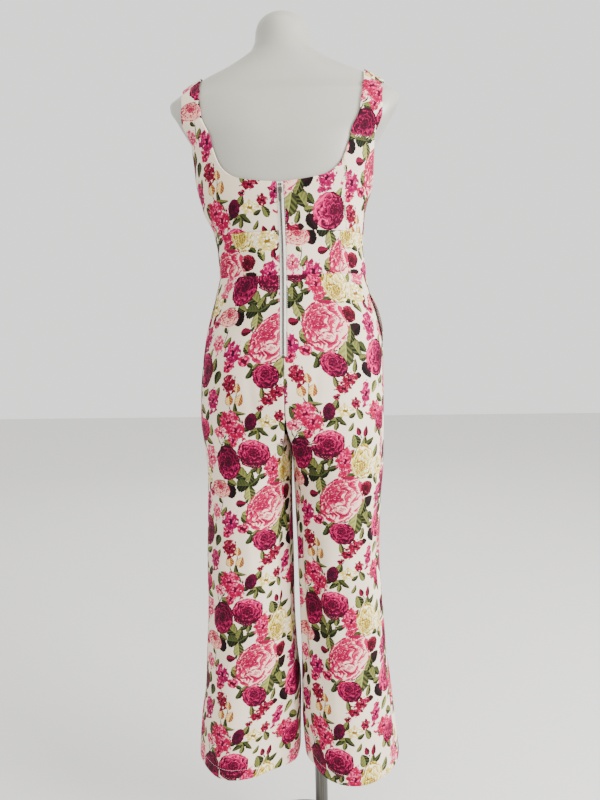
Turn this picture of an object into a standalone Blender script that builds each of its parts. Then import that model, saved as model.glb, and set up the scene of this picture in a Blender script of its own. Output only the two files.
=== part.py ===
"""Sleeveless wide-leg jumpsuit, standing on the limbless dress form that fills it.

Metres, +Z up. The wearer faces -Y, so the zipped back faces +Y, and +X is the
wearer's left. The origin is on the floor, under the middle of the round base.

Two surfaces carry everything. The torso surface is a stack of rounded sections of
the dress form; the cloth of the bodice and band lies outside it by a stated ease.
The leg surface starts as that same ring and turns, below the seat, into one tube
for each leg. A panel is a grid on one of them, given the cloth's thickness inward.
The tables count heights from a level below the hems; when the garment and the form
are built they are raised by LIFT, and the stand is then built from the floor up.
"""

import math

import bmesh
import bpy
import numpy as np
from mathutils import Matrix

for old in list(bpy.data.objects):
    bpy.data.objects.remove(old, do_unlink=True)


def table(columns, *rows):
    """A short table as a dictionary of named columns."""
    values = np.array(rows, dtype=float)
    return {name: values[:, i] for i, name in enumerate(columns.split())}


# --- driving sizes ---------------------------------------------------------------

CLOTH = 0.0012          # wall of the printed cloth
BAG_CLOTH = 0.0010      # wall of the pocket bags and the zip tapes
GAP = 0.0003            # left between pieces that meet at a seam
HALF_GAP = GAP / 2
LEVEL_GAP = 0.0002      # half the gap at the two level seams round the body
STEP = 1e-4             # step for the slopes that give a surface its normal

SHOULDER_TOP = 1.4580   # top of the strap over the shoulder
MIDRIFF_SEAM = 1.1710   # bodice to midriff band
WAIST_SEAM = 1.0920     # midriff band to trousers
NECK_BACK = 1.2517      # top of the zip, lowest point of the back neckline
ZIP_END = 0.9470        # bottom of the zip
SEAT_TURN = 0.8350      # where the centre seams start to turn under the body
FORK = 0.7850           # where they meet the inseams
LEG_WHOLE = 0.6950      # below this each leg is a tube of its own
HEM = 0.1000

ZIP_HALF = 0.0057       # half the width left between the back panels
TAPE_HALF = 0.0054
TAPE_INNER = 0.0008

# Dress form: half width, depth behind and before the middle, squareness of the
# section. The rows under FORM_BOTTOM only carry the line of the cloth downwards.
FORM = table(
    "z       half_w  back    front   square",
    (0.690, 0.1700, 0.1080, 0.0960, 2.30),
    (0.800, 0.1720, 0.1190, 0.1000, 2.40),
    (0.880, 0.1690, 0.1250, 0.1030, 2.40),
    (0.930, 0.1630, 0.1235, 0.1060, 2.40),
    (0.975, 0.1555, 0.1160, 0.1070, 2.35),
    (1.015, 0.1455, 0.1060, 0.1050, 2.30),
    (1.055, 0.1345, 0.0965, 0.1010, 2.25),
    (1.100, 0.1265, 0.0880, 0.0960, 2.20),
    (1.140, 0.1275, 0.0860, 0.0945, 2.20),
    (1.180, 0.1345, 0.0915, 0.1000, 2.25),
    (1.225, 0.1475, 0.0985, 0.1080, 2.40),
    (1.265, 0.1605, 0.1040, 0.1120, 2.50),
    (1.300, 0.1660, 0.1045, 0.1050, 2.50),
    (1.332, 0.1730, 0.1010, 0.0940, 2.50),
    (1.3720, 0.1920, 0.0910, 0.0790, 2.50),
    (1.4120, 0.2155, 0.0770, 0.0630, 2.40),
    (1.4210, 0.2075, 0.0720, 0.0580, 2.30),
    (1.4335, 0.1882, 0.0650, 0.0530, 2.25),
    (1.4560, 0.1507, 0.0570, 0.0490, 2.20),
    (1.4740, 0.1085, 0.0530, 0.0480, 2.10),
    (1.4885, 0.0795, 0.0515, 0.0485, 2.05),
    (1.5005, 0.0602, 0.0510, 0.0490, 2.00),
    (1.5190, 0.0510, 0.0505, 0.0495, 2.00),
    (1.5365, 0.0487, 0.0490, 0.0487, 2.00),
    (1.5480, 0.0441, 0.0445, 0.0441, 2.00),
    (1.5555, 0.0372, 0.0378, 0.0374, 2.00),
    (1.5620, 0.0261, 0.0268, 0.0264, 2.00),
    (1.5655, 0.0120, 0.0126, 0.0124, 2.00),
)
FORM_BOTTOM = 0.8600
BOTTOM_EDGE = table("up scale", (0.000, 0.900), (0.004, 0.955), (0.012, 0.990), (0.024, 1.000))
NECK_CAP_TOP = 1.5668

# The flat ends where the arms are left off lie between these heights. The section
# would reach this much further out at the middle of that stretch.
STUMP_LOW = 1.330
STUMP_HIGH = 1.412
STUMP_CUT = 0.0165
BUST_HEIGHT = 1.2620
BUST_OUT = 0.0800
BUST_RISE = 0.0210
BUST_SPREAD = 0.0420

# Ease: how far the outside of the cloth stands off the form.
EASE = table(
    "z       left    right   back    front",
    (0.690, 0.0060, 0.0090, 0.0040, 0.0040),
    (0.810, 0.0085, 0.0105, 0.0060, 0.0060),
    (0.900, 0.0075, 0.0150, 0.0080, 0.0090),
    (0.975, 0.0080, 0.0240, 0.0080, 0.0100),
    (1.015, 0.0080, 0.0240, 0.0075, 0.0100),
    (1.055, 0.0080, 0.0230, 0.0065, 0.0090),
    (1.100, 0.0060, 0.0235, 0.0055, 0.0070),
    (1.140, 0.0068, 0.0175, 0.0050, 0.0060),
    (1.180, 0.0065, 0.0125, 0.0048, 0.0058),
    (1.222, 0.0120, 0.0060, 0.0045, 0.0058),
    (1.265, 0.0080, 0.0054, 0.0045, 0.0070),
    (1.300, 0.0060, 0.0045, 0.0045, 0.0050),
    (1.480, 0.0045, 0.0045, 0.0045, 0.0045),
)

# Legs: outside and inside edge measured from the middle of the body (an inside
# edge below zero has crossed over to the other leg's side), depth behind and before.
LEG = table(
    "z      out_L   out_R   in_L     in_R    back    front",
    (0.095, 0.2185, 0.2120, -0.0005, 0.0115, 0.1080, 0.0900),
    (0.190, 0.2080, 0.2015, -0.0040, 0.0070, 0.1030, 0.0880),
    (0.245, 0.1985, 0.1960, -0.0055, 0.0075, 0.0995, 0.0870),
    (0.330, 0.1920, 0.1855, 0.0010, 0.0085, 0.0965, 0.0860),
    (0.422, 0.1855, 0.1795, 0.0045, 0.0072, 0.0940, 0.0860),
    (0.530, 0.1820, 0.1725, 0.0038, 0.0055, 0.0940, 0.0870),
    (0.650, 0.1750, 0.1755, 0.0038, 0.0030, 0.0990, 0.0900),
    (0.720, 0.1715, 0.1810, 0.0024, 0.0012, 0.1060, 0.0940),
    (0.765, 0.1705, 0.1820, 0.0012, 0.0010, 0.1130, 0.0970),
    (0.840, 0.1790, 0.1825, 0.0010, 0.0010, 0.1240, 0.1020),
)
LEG_SQUARE = 2.15
RING_CORNER = 40.0      # share of the leg's turn, in degrees, on the middle plane

# Side seams, in degrees behind the side, as turns of the torso ring.
SIDE_SEAM = table(
    "z      left  right",
    (0.095, 14.0, 14.0),
    (0.700, 14.5, 13.0),
    (0.850, 18.0, 10.0),
    (0.960, 23.0, 9.0),
    (1.040, 22.0, 8.0),
    (1.092, 17.0, 7.5),
    (1.171, 10.0, 7.5),
    (1.262, 7.5, 7.5),
)

# Largest folds of the legs: where round the tube (0 inside, 90 behind, 180 out),
# how wide and how far out (in, below zero), and the heights between which it shows.
FOLDS_L = table(
    "turn   width  rise     low    high   at_hem",
    (107.0, 16.0, 0.0100, 0.000, 0.420, 1),
    (57.0, 18.0, -0.0110, 0.000, 0.400, 1),
    (24.0, 9.0, 0.0050, 0.000, 0.300, 1),
    (142.0, 8.0, -0.0035, 0.330, 0.800, 0),
    (285.0, 20.0, 0.0070, 0.000, 0.450, 1),
    (322.0, 15.0, -0.0080, 0.000, 0.480, 1),
    (232.0, 14.0, -0.0050, 0.000, 0.560, 1),
)
FOLDS_R = table(
    "turn   width  rise     low    high   at_hem",
    (60.0, 8.0, -0.0095, 0.180, 0.680, 0),
    (74.0, 10.0, 0.0040, 0.200, 0.640, 0),
    (90.0, 20.0, 0.0090, 0.000, 0.380, 1),
    (38.0, 10.0, -0.0060, 0.000, 0.260, 1),
    (148.0, 9.0, -0.0035, 0.300, 0.760, 0),
    (270.0, 20.0, 0.0070, 0.000, 0.430, 1),
    (318.0, 14.0, -0.0080, 0.000, 0.520, 1),
    (228.0, 14.0, -0.0045, 0.000, 0.600, 1),
)

# Pocket mouths in the side seams: the front panel's edge stands proud there.
MOUTH_LOW = 0.9620
MOUTH_HIGH = 1.0560
PROUD = {"L": 0.0020, "R": 0.0075}
PROUD_REACH = 20.0      # degrees of the leg's turn over which it dies away
BAG_REACH = 15.0        # how far the bag reaches under the front panel
BAG_UNDER = 3.0         # and under the back panel

# Bodice: levels from the midriff seam to the shoulder seam. Each gives the inner
# edge (centre line, then neckline and strap) by its distance from the middle, and
# the outer edge (side seam, then armhole and strap) by its turn from the side.
BODICE_BACK = table(
    "in_x    in_z    out_deg  out_z",
    (0.0000, 1.1710, 0.0, 1.1710),
    (0.0000, 1.1950, 0.0, 1.1980),
    (0.0000, 1.2230, 0.0, 1.2280),
    (0.0000, 1.2517, 0.0, 1.2540),
    (0.0260, 1.2535, 8.5, 1.2640),
    (0.0520, 1.2570, 11.5, 1.2800),
    (0.0780, 1.2628, 14.0, 1.2970),
    (0.0950, 1.2735, 17.0, 1.3120),
    (0.1065, 1.2870, 21.0, 1.3280),
    (0.1145, 1.3060, 26.0, 1.3430),
    (0.1215, 1.3280, 32.0, 1.3600),
    (0.1315, 1.3550, 36.0, 1.3780),
    (0.1405, 1.3840, 37.5, 1.3970),
)
BODICE_FRONT = table(
    "in_x    in_z    out_deg  out_z",
    (0.0000, 1.1710, 0.0, 1.1710),
    (0.0000, 1.2020, 0.0, 1.1980),
    (0.0000, 1.2360, 0.0, 1.2280),
    (0.0000, 1.2680, 0.0, 1.2540),
    (0.0000, 1.3020, 10.0, 1.2660),
    (0.0420, 1.3030, 17.0, 1.2830),
    (0.0760, 1.3060, 24.0, 1.3010),
    (0.0970, 1.3140, 30.5, 1.3190),
    (0.1080, 1.3280, 34.0, 1.3370),
    (0.1180, 1.3470, 36.5, 1.3570),
    (0.1290, 1.3720, 38.0, 1.3770),
    (0.1395, 1.3960, 38.0, 1.3960),
)
# Top of the strap, up to the shoulder seam: each edge by its turn and its distance
# from the middle, from which the shoulder's own slope gives the height.
STRAP = table(
    "in_turn  in_x    out_turn  out_x",
    (51.0, 0.1450, 36.0, 0.1785),
    (43.0, 0.1470, 28.5, 0.1800),
    (32.0, 0.1470, 19.5, 0.1820),
    (21.0, 0.1475, 12.0, 0.1835),
    (11.0, 0.1482, 6.0, 0.1845),
    (4.0, 0.1485, 2.2, 0.1850),
    (0.06, 0.1485, 0.06, 0.1850),
)
NECK_LEVEL = {"back": 3, "front": 4}

SLIDER_TOP = 1.2420
SLIDER_BOTTOM = 1.2315
CHAIN_HALF = 0.0022
LIFT = 0.1900           # how far the tables' zero level stands above the floor
POLE_X = -0.0440
POLE_RADIUS = 0.0135
BASE_RADIUS = 0.1650
BASE_HEIGHT = 0.0100


# --- materials -------------------------------------------------------------------


def material(name, colour, roughness, metallic=0.0):
    """A Principled material with one colour."""
    made = bpy.data.materials.new(name)
    made.use_nodes = True
    shader = made.node_tree.nodes["Principled BSDF"]
    shader.inputs["Base Color"].default_value = (*colour, 1.0)
    shader.inputs["Roughness"].default_value = roughness
    shader.inputs["Metallic"].default_value = metallic
    return made


PRINT_GROUND = (0.72, 0.60, 0.58)
TAPE_WHITE = (0.80, 0.79, 0.75)
ZIP_METAL = (0.42, 0.42, 0.40)
FORM_WHITE = (0.74, 0.74, 0.71)
POLE_STEEL = (0.45, 0.46, 0.46)


# --- reading the tables ----------------------------------------------------------


def smooth(rows, column, at, key="z"):
    """Read a column at any height by a cubic that keeps the column's own slope signs."""
    x, y = rows[key], rows[column]
    run = np.diff(x)
    slope = np.diff(y) / run
    tangent = np.zeros_like(y)
    same = slope[:-1] * slope[1:] > 0
    total = np.where(same, slope[:-1] + slope[1:], 1.0)
    tangent[1:-1] = np.where(same, 2 * slope[:-1] * slope[1:] / total, 0.0)
    tangent[0], tangent[-1] = slope[0], slope[-1]
    at = np.clip(at, x[0], x[-1])
    i = np.clip(np.searchsorted(x, at, side="right") - 1, 0, len(run) - 1)
    t = (at - x[i]) / run[i]
    return (
        y[i] * (1 + 2 * t) * (1 - t) ** 2
        + tangent[i] * run[i] * t * (1 - t) ** 2
        + y[i + 1] * t * t * (3 - 2 * t)
        + tangent[i + 1] * run[i] * t * t * (t - 1)
    )


def power(value, exponent):
    """A power that keeps the sign."""
    return np.sign(value) * np.abs(value) ** exponent


def ramp(value, low, high):
    """0 below low, 1 above high, with a soft step between."""
    t = np.clip((value - low) / (high - low), 0.0, 1.0)
    return t * t * (3 - 2 * t)


# --- the torso surface -----------------------------------------------------------


def full_width(z):
    """Half width that the section would have without its flat arm end."""
    middle, reach = (STUMP_LOW + STUMP_HIGH) / 2, (STUMP_HIGH - STUMP_LOW) / 2
    place = np.clip((z - middle) / reach, -1.0, 1.0)
    return smooth(FORM, "half_w", z) + STUMP_CUT * np.cos(np.pi * place / 2) ** 2


def form(turn, z):
    """Dress form. turn is in degrees: 0 wearer's left, 90 back, -90 front, 180 right."""
    angle = np.radians(turn)
    across, along = np.cos(angle), np.sin(angle)
    n = smooth(FORM, "square", z)
    depth = np.where(along >= 0, smooth(FORM, "back", z), smooth(FORM, "front", z))
    edge = smooth(FORM, "half_w", z)
    x = np.clip(full_width(z) * power(across, 2 / n), -edge, edge)
    y = depth * power(along, 2 / n)
    lobe = ((np.abs(x) - BUST_OUT) ** 2 + (z - BUST_HEIGHT) ** 2) / (2 * BUST_SPREAD**2)
    facing = ramp(-along, 0.0, 0.7)
    return np.stack([x, y - BUST_RISE * np.exp(-lobe) * facing, z + 0 * x], axis=-1)


def normals(surface, p, z):
    """Outward normals of surface(p, z), from its slopes along p and up."""
    along = surface(p + 1.0, z) - surface(p - 1.0, z)
    up = surface(p, z + STEP) - surface(p, z - STEP)
    cross = np.cross(along, up)
    return cross / np.maximum(np.linalg.norm(cross, axis=-1, keepdims=True), 1e-12)


def torso(turn, z):
    """Outside of the cloth over the torso: the form moved out by the ease."""
    angle = np.radians(turn)
    side = np.where(np.cos(angle) >= 0, smooth(EASE, "left", z), smooth(EASE, "right", z))
    end = np.where(np.sin(angle) >= 0, smooth(EASE, "back", z), smooth(EASE, "front", z))
    ease = side * np.cos(angle) ** 2 + end * np.sin(angle) ** 2
    return form(turn, z) + normals(form, turn, z) * ease[..., None]


def turn_of(x, z, back=True):
    """Turn, in degrees, at which the form's section is x from the middle."""
    share = np.clip(x / full_width(z), 0.0, 1.0)
    turn = np.degrees(np.arccos(share ** (smooth(FORM, "square", z) / 2)))
    return turn if back else -turn


def shoulder_height(x, turn):
    """Height at which the shoulder's slope, at this turn, is x from the middle."""
    heights = np.linspace(STUMP_HIGH, SHOULDER_TOP + 0.03, 500)
    n = smooth(FORM, "square", heights)
    across = full_width(heights) * np.cos(np.radians(turn)) ** (2 / n)
    return float(np.interp(-x, -across, heights))


# --- the leg surface -------------------------------------------------------------


def ring_turn(psi):
    """Torso turn for a place round the leg (0 inside, 90 behind, 180 out, 270 before)."""
    return 90.0 - 180.0 * (psi - RING_CORNER) / (360.0 - 2 * RING_CORNER)


def leg_turn(turn):
    """The place round the leg for a torso turn on the wearer's left."""
    return RING_CORNER + (90.0 - turn) * (360.0 - 2 * RING_CORNER) / 180.0


def half_ring(psi, z, side):
    """Half of the torso ring, closed along the middle plane, for one leg's side."""
    turn = ring_turn(np.clip(psi, RING_CORNER, 360.0 - RING_CORNER))
    turn = np.clip(turn, -90 + 1e-6, 90 - 1e-6)
    point = torso(turn if side == "L" else 180.0 - turn, z)
    x = np.abs(point[..., 0])
    y = point[..., 1]
    inward = np.where(psi < 180, psi, 360.0 - psi) / RING_CORNER
    on_plane = inward < 1
    flat = [np.where(on_plane, 0.0, x), np.where(on_plane, y * inward, y), point[..., 2]]
    return np.stack(flat, axis=-1)


def tube(psi, z, side):
    """One leg as a tube by itself, for the wearer's left; the right is mirrored later."""
    angle = np.radians(psi)
    out, inner = smooth(LEG, "out_" + side, z), smooth(LEG, "in_" + side, z)
    depth = np.where(psi <= 180, smooth(LEG, "back", z), smooth(LEG, "front", z))
    x = (out + inner) / 2 - (out - inner) / 2 * power(np.cos(angle), 2 / LEG_SQUARE)
    y = depth * power(np.sin(angle), 2 / LEG_SQUARE)
    return np.stack([x, y, z + 0 * x], axis=-1)


def folds(psi, z, side):
    """Sum of the leg's soft ridges and troughs."""
    rows = FOLDS_L if side == "L" else FOLDS_R
    total = np.zeros(np.broadcast(psi, z).shape)
    for turn, width, rise, low, high, at_hem in zip(*rows.values()):
        reach = np.sin(np.pi * np.clip((z - low) / (high - low), 0.0, 1.0)) ** 2
        if at_hem:
            reach = 1.0 - ramp(z, HEM, high)
        total = total + rise * reach * np.exp(-(((psi - turn) / width) ** 2) / 2)
    return total


def leg(psi, z, side, proud=True):
    """Outside of the trouser cloth: ring above, tube below, folds on both."""
    share = 1.0 - ramp(z, LEG_WHOLE, SEAT_TURN + 0.01)
    point = half_ring(psi, z, side) * (1 - share[..., None]) + tube(psi, z, side) * share[..., None]
    out = folds(psi, z, side)
    if proud:
        start = side_seam(z, side)
        mouth = np.sin(np.pi * np.clip((z - MOUTH_LOW) / (MOUTH_HIGH - MOUTH_LOW), 0, 1)) ** 0.8
        fade = 1.0 - ramp(psi - start, 0.0, PROUD_REACH)
        out = out + np.where(psi >= start, PROUD[side] * mouth * fade, 0.0)
    angle = np.radians(psi)
    point[..., 0] -= out * np.cos(angle)
    point[..., 1] += out * np.sin(angle)
    floor = np.where(z > FORK, HALF_GAP, -1.0)
    point[..., 0] = np.maximum(point[..., 0], floor)
    if side == "R":
        point[..., 0] *= -1
    return point


def side_seam(z, side):
    """Place of the side seam round the leg."""
    return leg_turn(smooth(SIDE_SEAM, "left" if side == "L" else "right", z))


def centre_start(z, before=False):
    """Place of the centre seam: on the ring above, turning in to the fork below it."""
    drop = np.clip((SEAT_TURN - z) / (SEAT_TURN - FORK), 0.0, 1.0)
    if before:
        return 360.0 - RING_CORNER * np.sqrt(1 - drop**2)
    return RING_CORNER * np.sqrt(1 - drop**2)


# --- walls -----------------------------------------------------------------------


def object_from(name, points, faces, finish):
    """An object from points and faces, smooth, with sharp rims."""
    mesh = bpy.data.meshes.new(name)
    mesh.from_pydata([tuple(float(c) for c in p) for p in points], [], faces)
    build = bmesh.new()
    build.from_mesh(mesh)
    bmesh.ops.remove_doubles(build, verts=build.verts, dist=1e-6)
    bmesh.ops.recalc_face_normals(build, faces=build.faces)
    build.to_mesh(mesh)
    build.free()
    mesh.shade_smooth()
    mesh.set_sharp_from_angle(angle=math.radians(50))
    mesh.materials.append(finish)
    made = bpy.data.objects.new(name, mesh)
    bpy.context.scene.collection.objects.link(made)
    return made


def grid_faces(points, rows, columns, first=0):
    """Triangles of a grid numbered row by row, each cell cut along its shorter diagonal."""
    faces = []
    for i in range(rows - 1):
        for j in range(columns - 1):
            a = first + i * columns + j
            b, c, d = a + 1, a + 1 + columns, a + columns
            if np.linalg.norm(points[a] - points[c]) < np.linalg.norm(points[b] - points[d]):
                faces += [(a, b, c), (a, c, d)]
            else:
                faces += [(a, b, d), (b, c, d)]
    return faces


def closed_wall(name, outer, inner, faces, finish):
    """A wall from its outer and inner points: both skins, and a strip along each rim."""
    count = len(outer)
    used = {}
    for face in faces:
        for a, b in zip(face, face[1:] + face[:1]):
            used[(a, b)] = True
    skins = list(faces) + [tuple(count + i for i in reversed(face)) for face in faces]
    rim = [(b, a, count + a, count + b) for a, b in used if (b, a) not in used]
    return object_from(name, list(outer) + list(inner), skins + rim, finish)


def even_rows(surface, starts, ends, columns):
    """Parameters of a grid whose rows run from start to end at equal lengths."""
    share = np.linspace(0.0, 1.0, 121)
    p_rows, z_rows = [], []
    for (p0, z0), (p1, z1) in zip(starts, ends):
        p, z = p0 + (p1 - p0) * share, z0 + (z1 - z0) * share
        steps = np.linalg.norm(np.diff(surface(p, z), axis=0), axis=1)
        run = np.concatenate([[0.0], np.cumsum(steps)])
        even = np.interp(np.linspace(0.0, run[-1], columns + 1), run, share)
        p_rows.append(p0 + (p1 - p0) * even)
        z_rows.append(z0 + (z1 - z0) * even)
    return np.array(p_rows), np.array(z_rows)


def spans(surface, edges, columns):
    """A grid over several spans side by side, each with its own number of columns."""
    parts = [even_rows(surface, a, b, n) for a, b, n in zip(edges, edges[1:], columns)]
    p = np.concatenate([part[0][:, k > 0:] for k, part in enumerate(parts)], axis=1)
    z = np.concatenate([part[1][:, k > 0:] for k, part in enumerate(parts)], axis=1)
    return p, z


def offset(surface, p, z, out):
    """Points of a surface moved along its outward normal."""
    way = normals(surface, p, z)
    middle = surface(p, z)
    centre = np.array([0.0, 0.0, 0.0])
    centre = centre + middle.mean(axis=(0, 1)) * np.array([0.45, 0.0, 1.0])
    facing = np.sign(np.sum((way * (middle - centre)).sum(axis=(0, 1))))
    return middle + way * facing * out


def panel(name, surface, edges, columns, finish, out=0.0, thickness=CLOTH):
    """A piece of cloth across two or more edges, each a list of (parameter, height)."""
    p, z = spans(surface, edges, columns)
    outer = offset(surface, p, z, out).reshape(-1, 3)
    inner = offset(surface, p, z, out - thickness).reshape(-1, 3)
    return closed_wall(name, outer, inner, grid_faces(outer, *p.shape), finish)


# --- bodice ----------------------------------------------------------------------


def bodice_edges(rows, back):
    """Inner and outer edge of a bodice half, from the midriff seam to the shoulder."""
    inner, outer = [], []
    sign = 1 if back else -1
    for in_x, in_z, out_deg, out_z in zip(*rows.values()):
        edge = ZIP_HALF if back else 0.0
        inner.append((float(turn_of(max(in_x, edge), in_z, back)), in_z))
        seam = float(smooth(SIDE_SEAM, "left", out_z))
        limit = (seam + 0.06) if back else (seam - 0.06)
        outer.append((limit if out_deg == 0 else sign * out_deg, out_z))
    for in_turn, in_x, out_turn, out_x in zip(*STRAP.values()):
        inner.append((sign * in_turn, shoulder_height(in_x, in_turn)))
        outer.append((sign * out_turn, shoulder_height(out_x, out_turn)))
    low = MIDRIFF_SEAM + LEVEL_GAP
    inner[0] = (inner[0][0], low)
    outer[0] = (outer[0][0], low)
    return inner, outer


def mirrored(surface, right):
    """The surface with its turn counted from the wearer's right when right is set."""
    return (lambda p, z: surface(180.0 - p, z)) if right else surface


BODICE_COLUMNS = 8
FRONT_COLUMNS = 11      # in each half of the front
for side in "LR":
    half = mirrored(torso, side == "R")
    cloth = material("print_back_bodice_" + side, PRINT_GROUND, 0.75)
    starts, ends = bodice_edges(BODICE_BACK, back=True)
    panel("back_bodice_" + side, half, [starts, ends], [BODICE_COLUMNS], cloth)


def front_bodice():
    """Both halves of the front in one piece, joined along the centre line."""
    starts, ends = bodice_edges(BODICE_FRONT, back=False)
    starts = [(-90.0 + 1e-4, z) if k <= NECK_LEVEL["front"] else (p, z) for k, (p, z) in enumerate(starts)]
    outer, inner, faces = [], [], []
    for side in "LR":
        half = mirrored(torso, side == "R")
        p, z = even_rows(half, starts, ends, FRONT_COLUMNS)
        first = len(outer)
        outer += list(offset(half, p, z, 0.0).reshape(-1, 3))
        inner += list(offset(half, p, z, -CLOTH).reshape(-1, 3))
        skin = grid_faces(outer, *p.shape, first=first)
        faces += skin if side == "L" else [tuple(reversed(face)) for face in skin]
    width = FRONT_COLUMNS + 1
    second = len(starts) * width
    weld = {second + k * width: k * width for k in range(NECK_LEVEL["front"] + 1)}
    for skin in (outer, inner):
        for k in weld.values():
            skin[k][0] = 0.0
    faces = [tuple(weld.get(i, i) for i in face) for face in faces]
    kept = sorted({i for face in faces for i in face})
    place = {old: new for new, old in enumerate(kept)}
    faces = [tuple(place[i] for i in face) for face in faces]
    cloth = material("print_front_bodice", PRINT_GROUND, 0.75)
    closed_wall("front_bodice", [outer[i] for i in kept], [inner[i] for i in kept], faces, cloth)


front_bodice()


# --- midriff band ----------------------------------------------------------------

BAND_LEVELS = np.linspace(WAIST_SEAM + LEVEL_GAP, MIDRIFF_SEAM - LEVEL_GAP, 5)


def band_seam(z, side):
    """Turn of the side seam in the band, counted on either side."""
    return float(smooth(SIDE_SEAM, "left" if side == "L" else "right", z))


for side in "LR":
    half = mirrored(torso, side == "R")
    cloth = material("print_midriff_back_" + side, PRINT_GROUND, 0.75)
    starts = [(float(turn_of(ZIP_HALF, z)), z) for z in BAND_LEVELS]
    ends = [(band_seam(z, side) + 0.06, z) for z in BAND_LEVELS]
    panel("midriff_back_" + side, half, [starts, ends], [BODICE_COLUMNS], cloth)

starts = [(band_seam(z, "L") - 0.06, z) for z in BAND_LEVELS]
ends = [(-180.0 - band_seam(z, "R") + 0.06, z) for z in BAND_LEVELS]
cloth = material("print_midriff_front", PRINT_GROUND, 0.75)
panel("midriff_front", torso, [starts, ends], [2 * FRONT_COLUMNS], cloth)


# --- trousers --------------------------------------------------------------------

HIP_LEVELS = list(np.linspace(WAIST_SEAM - LEVEL_GAP, ZIP_END + 0.0005, 7))
SEAT_LEVELS = [ZIP_END - 0.0035, 0.910, 0.872, SEAT_TURN, 0.825, 0.812, 0.800, 0.7915, 0.7865]
FORK_LEVELS = [FORK, 0.768, 0.745, 0.715, 0.675]
LEG_LEVELS = list(np.linspace(0.620, HEM, 11))
TROUSER_LEVELS = HIP_LEVELS + SEAT_LEVELS + FORK_LEVELS + LEG_LEVELS
INNER_COLUMNS = 3       # from the inner seam to the turn of the seat
OUTER_COLUMNS = 9       # and from there to the side seam
SEAT_CORNER = RING_CORNER + 6.0
EDGE_INSET = 0.09       # degrees of turn that leave half a gap beside a leg seam


def trouser_start(z):
    """Back panel's inner edge: beside the zip, then the seat seam, then the inseam."""
    if z > ZIP_END:
        return float(leg_turn(turn_of(ZIP_HALF, z)))
    return max(float(centre_start(z)), EDGE_INSET)


for side in "LR":
    surface = lambda p, z, side=side: leg(p, z, side)
    back = material("print_trouser_back_" + side, PRINT_GROUND, 0.75)
    front = material("print_trouser_front_" + side, PRINT_GROUND, 0.75)
    seam = [float(side_seam(z, side)) for z in TROUSER_LEVELS]
    inner = [(trouser_start(z), z) for z in TROUSER_LEVELS]
    turn = [(SEAT_CORNER, z) for z in TROUSER_LEVELS]
    outer = [(s - EDGE_INSET, z) for s, z in zip(seam, TROUSER_LEVELS)]
    panel("trouser_back_" + side, surface, [inner, turn, outer], [INNER_COLUMNS, OUTER_COLUMNS], back)
    outer = [(s + EDGE_INSET, z) for s, z in zip(seam, TROUSER_LEVELS)]
    turn = [(360.0 - SEAT_CORNER, z) for z in TROUSER_LEVELS]
    inner = [(min(float(centre_start(z, before=True)), 360 - EDGE_INSET), z) for z in TROUSER_LEVELS]
    panel("trouser_front_" + side, surface, [outer, turn, inner], [OUTER_COLUMNS, INNER_COLUMNS], front)

BAG_LEVELS = np.linspace(MOUTH_LOW - 0.020, MOUTH_HIGH + 0.010, 7)
BAG_DEPTH = CLOTH + 0.0013      # outside of the bag under the outside of the trousers
for side in "LR":
    under = lambda p, z, side=side: leg(p, z, side, proud=False)
    bag = material("pocket_bag_" + side, TAPE_WHITE, 0.8)
    seam = [float(side_seam(z, side)) for z in BAG_LEVELS]
    starts = [(s - BAG_UNDER, z) for s, z in zip(seam, BAG_LEVELS)]
    ends = [(s + BAG_REACH, z) for s, z in zip(seam, BAG_LEVELS)]
    panel("pocket_bag_" + side, under, [starts, ends], [4], bag, out=-BAG_DEPTH, thickness=BAG_CLOTH)


# --- exposed zip -----------------------------------------------------------------

ZIP_LEVELS = np.linspace(ZIP_END + 0.0008, NECK_BACK - 0.0005, 18)
for side in "LR":
    half = mirrored(torso, side == "R")
    tape = material("zip_tape_" + side, TAPE_WHITE, 0.7)
    starts = [(float(turn_of(TAPE_INNER, z)), z) for z in ZIP_LEVELS]
    ends = [(float(turn_of(TAPE_HALF, z)), z) for z in ZIP_LEVELS]
    panel("zip_tape_" + side, half, [starts, ends], [1], tape, thickness=BAG_CLOTH)


def box(name, low, high, finish, bevel=0.0):
    """A block between two corners, with its edges rounded by bevel."""
    build = bmesh.new()
    bmesh.ops.create_cube(build, size=1.0)
    low, high = np.array(low), np.array(high)
    for vert in build.verts:
        vert.co = (low + high) / 2 + np.array(vert.co) * (high - low)
    if bevel:
        bmesh.ops.bevel(build, geom=build.edges, offset=bevel, segments=2, affect="EDGES")
    mesh = bpy.data.meshes.new(name)
    build.to_mesh(mesh)
    build.free()
    mesh.shade_smooth()
    mesh.set_sharp_from_angle(angle=math.radians(50))
    mesh.materials.append(finish)
    made = bpy.data.objects.new(name, mesh)
    bpy.context.scene.collection.objects.link(made)
    return made


def back_face(z):
    """How far behind the middle the outside of the cloth lies on the centre line."""
    return float(torso(np.array(89.9), np.array(z))[1])


CHAIN_RISE = 0.0014
CHAIN_LIFT = 0.0005
CHAIN_TOP = SLIDER_BOTTOM - GAP
CHAIN_LEVELS = np.linspace(ZIP_END + 0.0056, CHAIN_TOP, 18)
chain_metal = material("zip_chain", ZIP_METAL, 0.35, 1.0)
starts = [(float(turn_of(CHAIN_HALF, z)), z) for z in CHAIN_LEVELS]
ends = [(180.0 - p, z) for p, z in starts]
rise = CHAIN_LIFT + CHAIN_RISE
panel("zip_chain", torso, [starts, ends], [2], chain_metal, out=rise, thickness=CHAIN_RISE)

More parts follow.
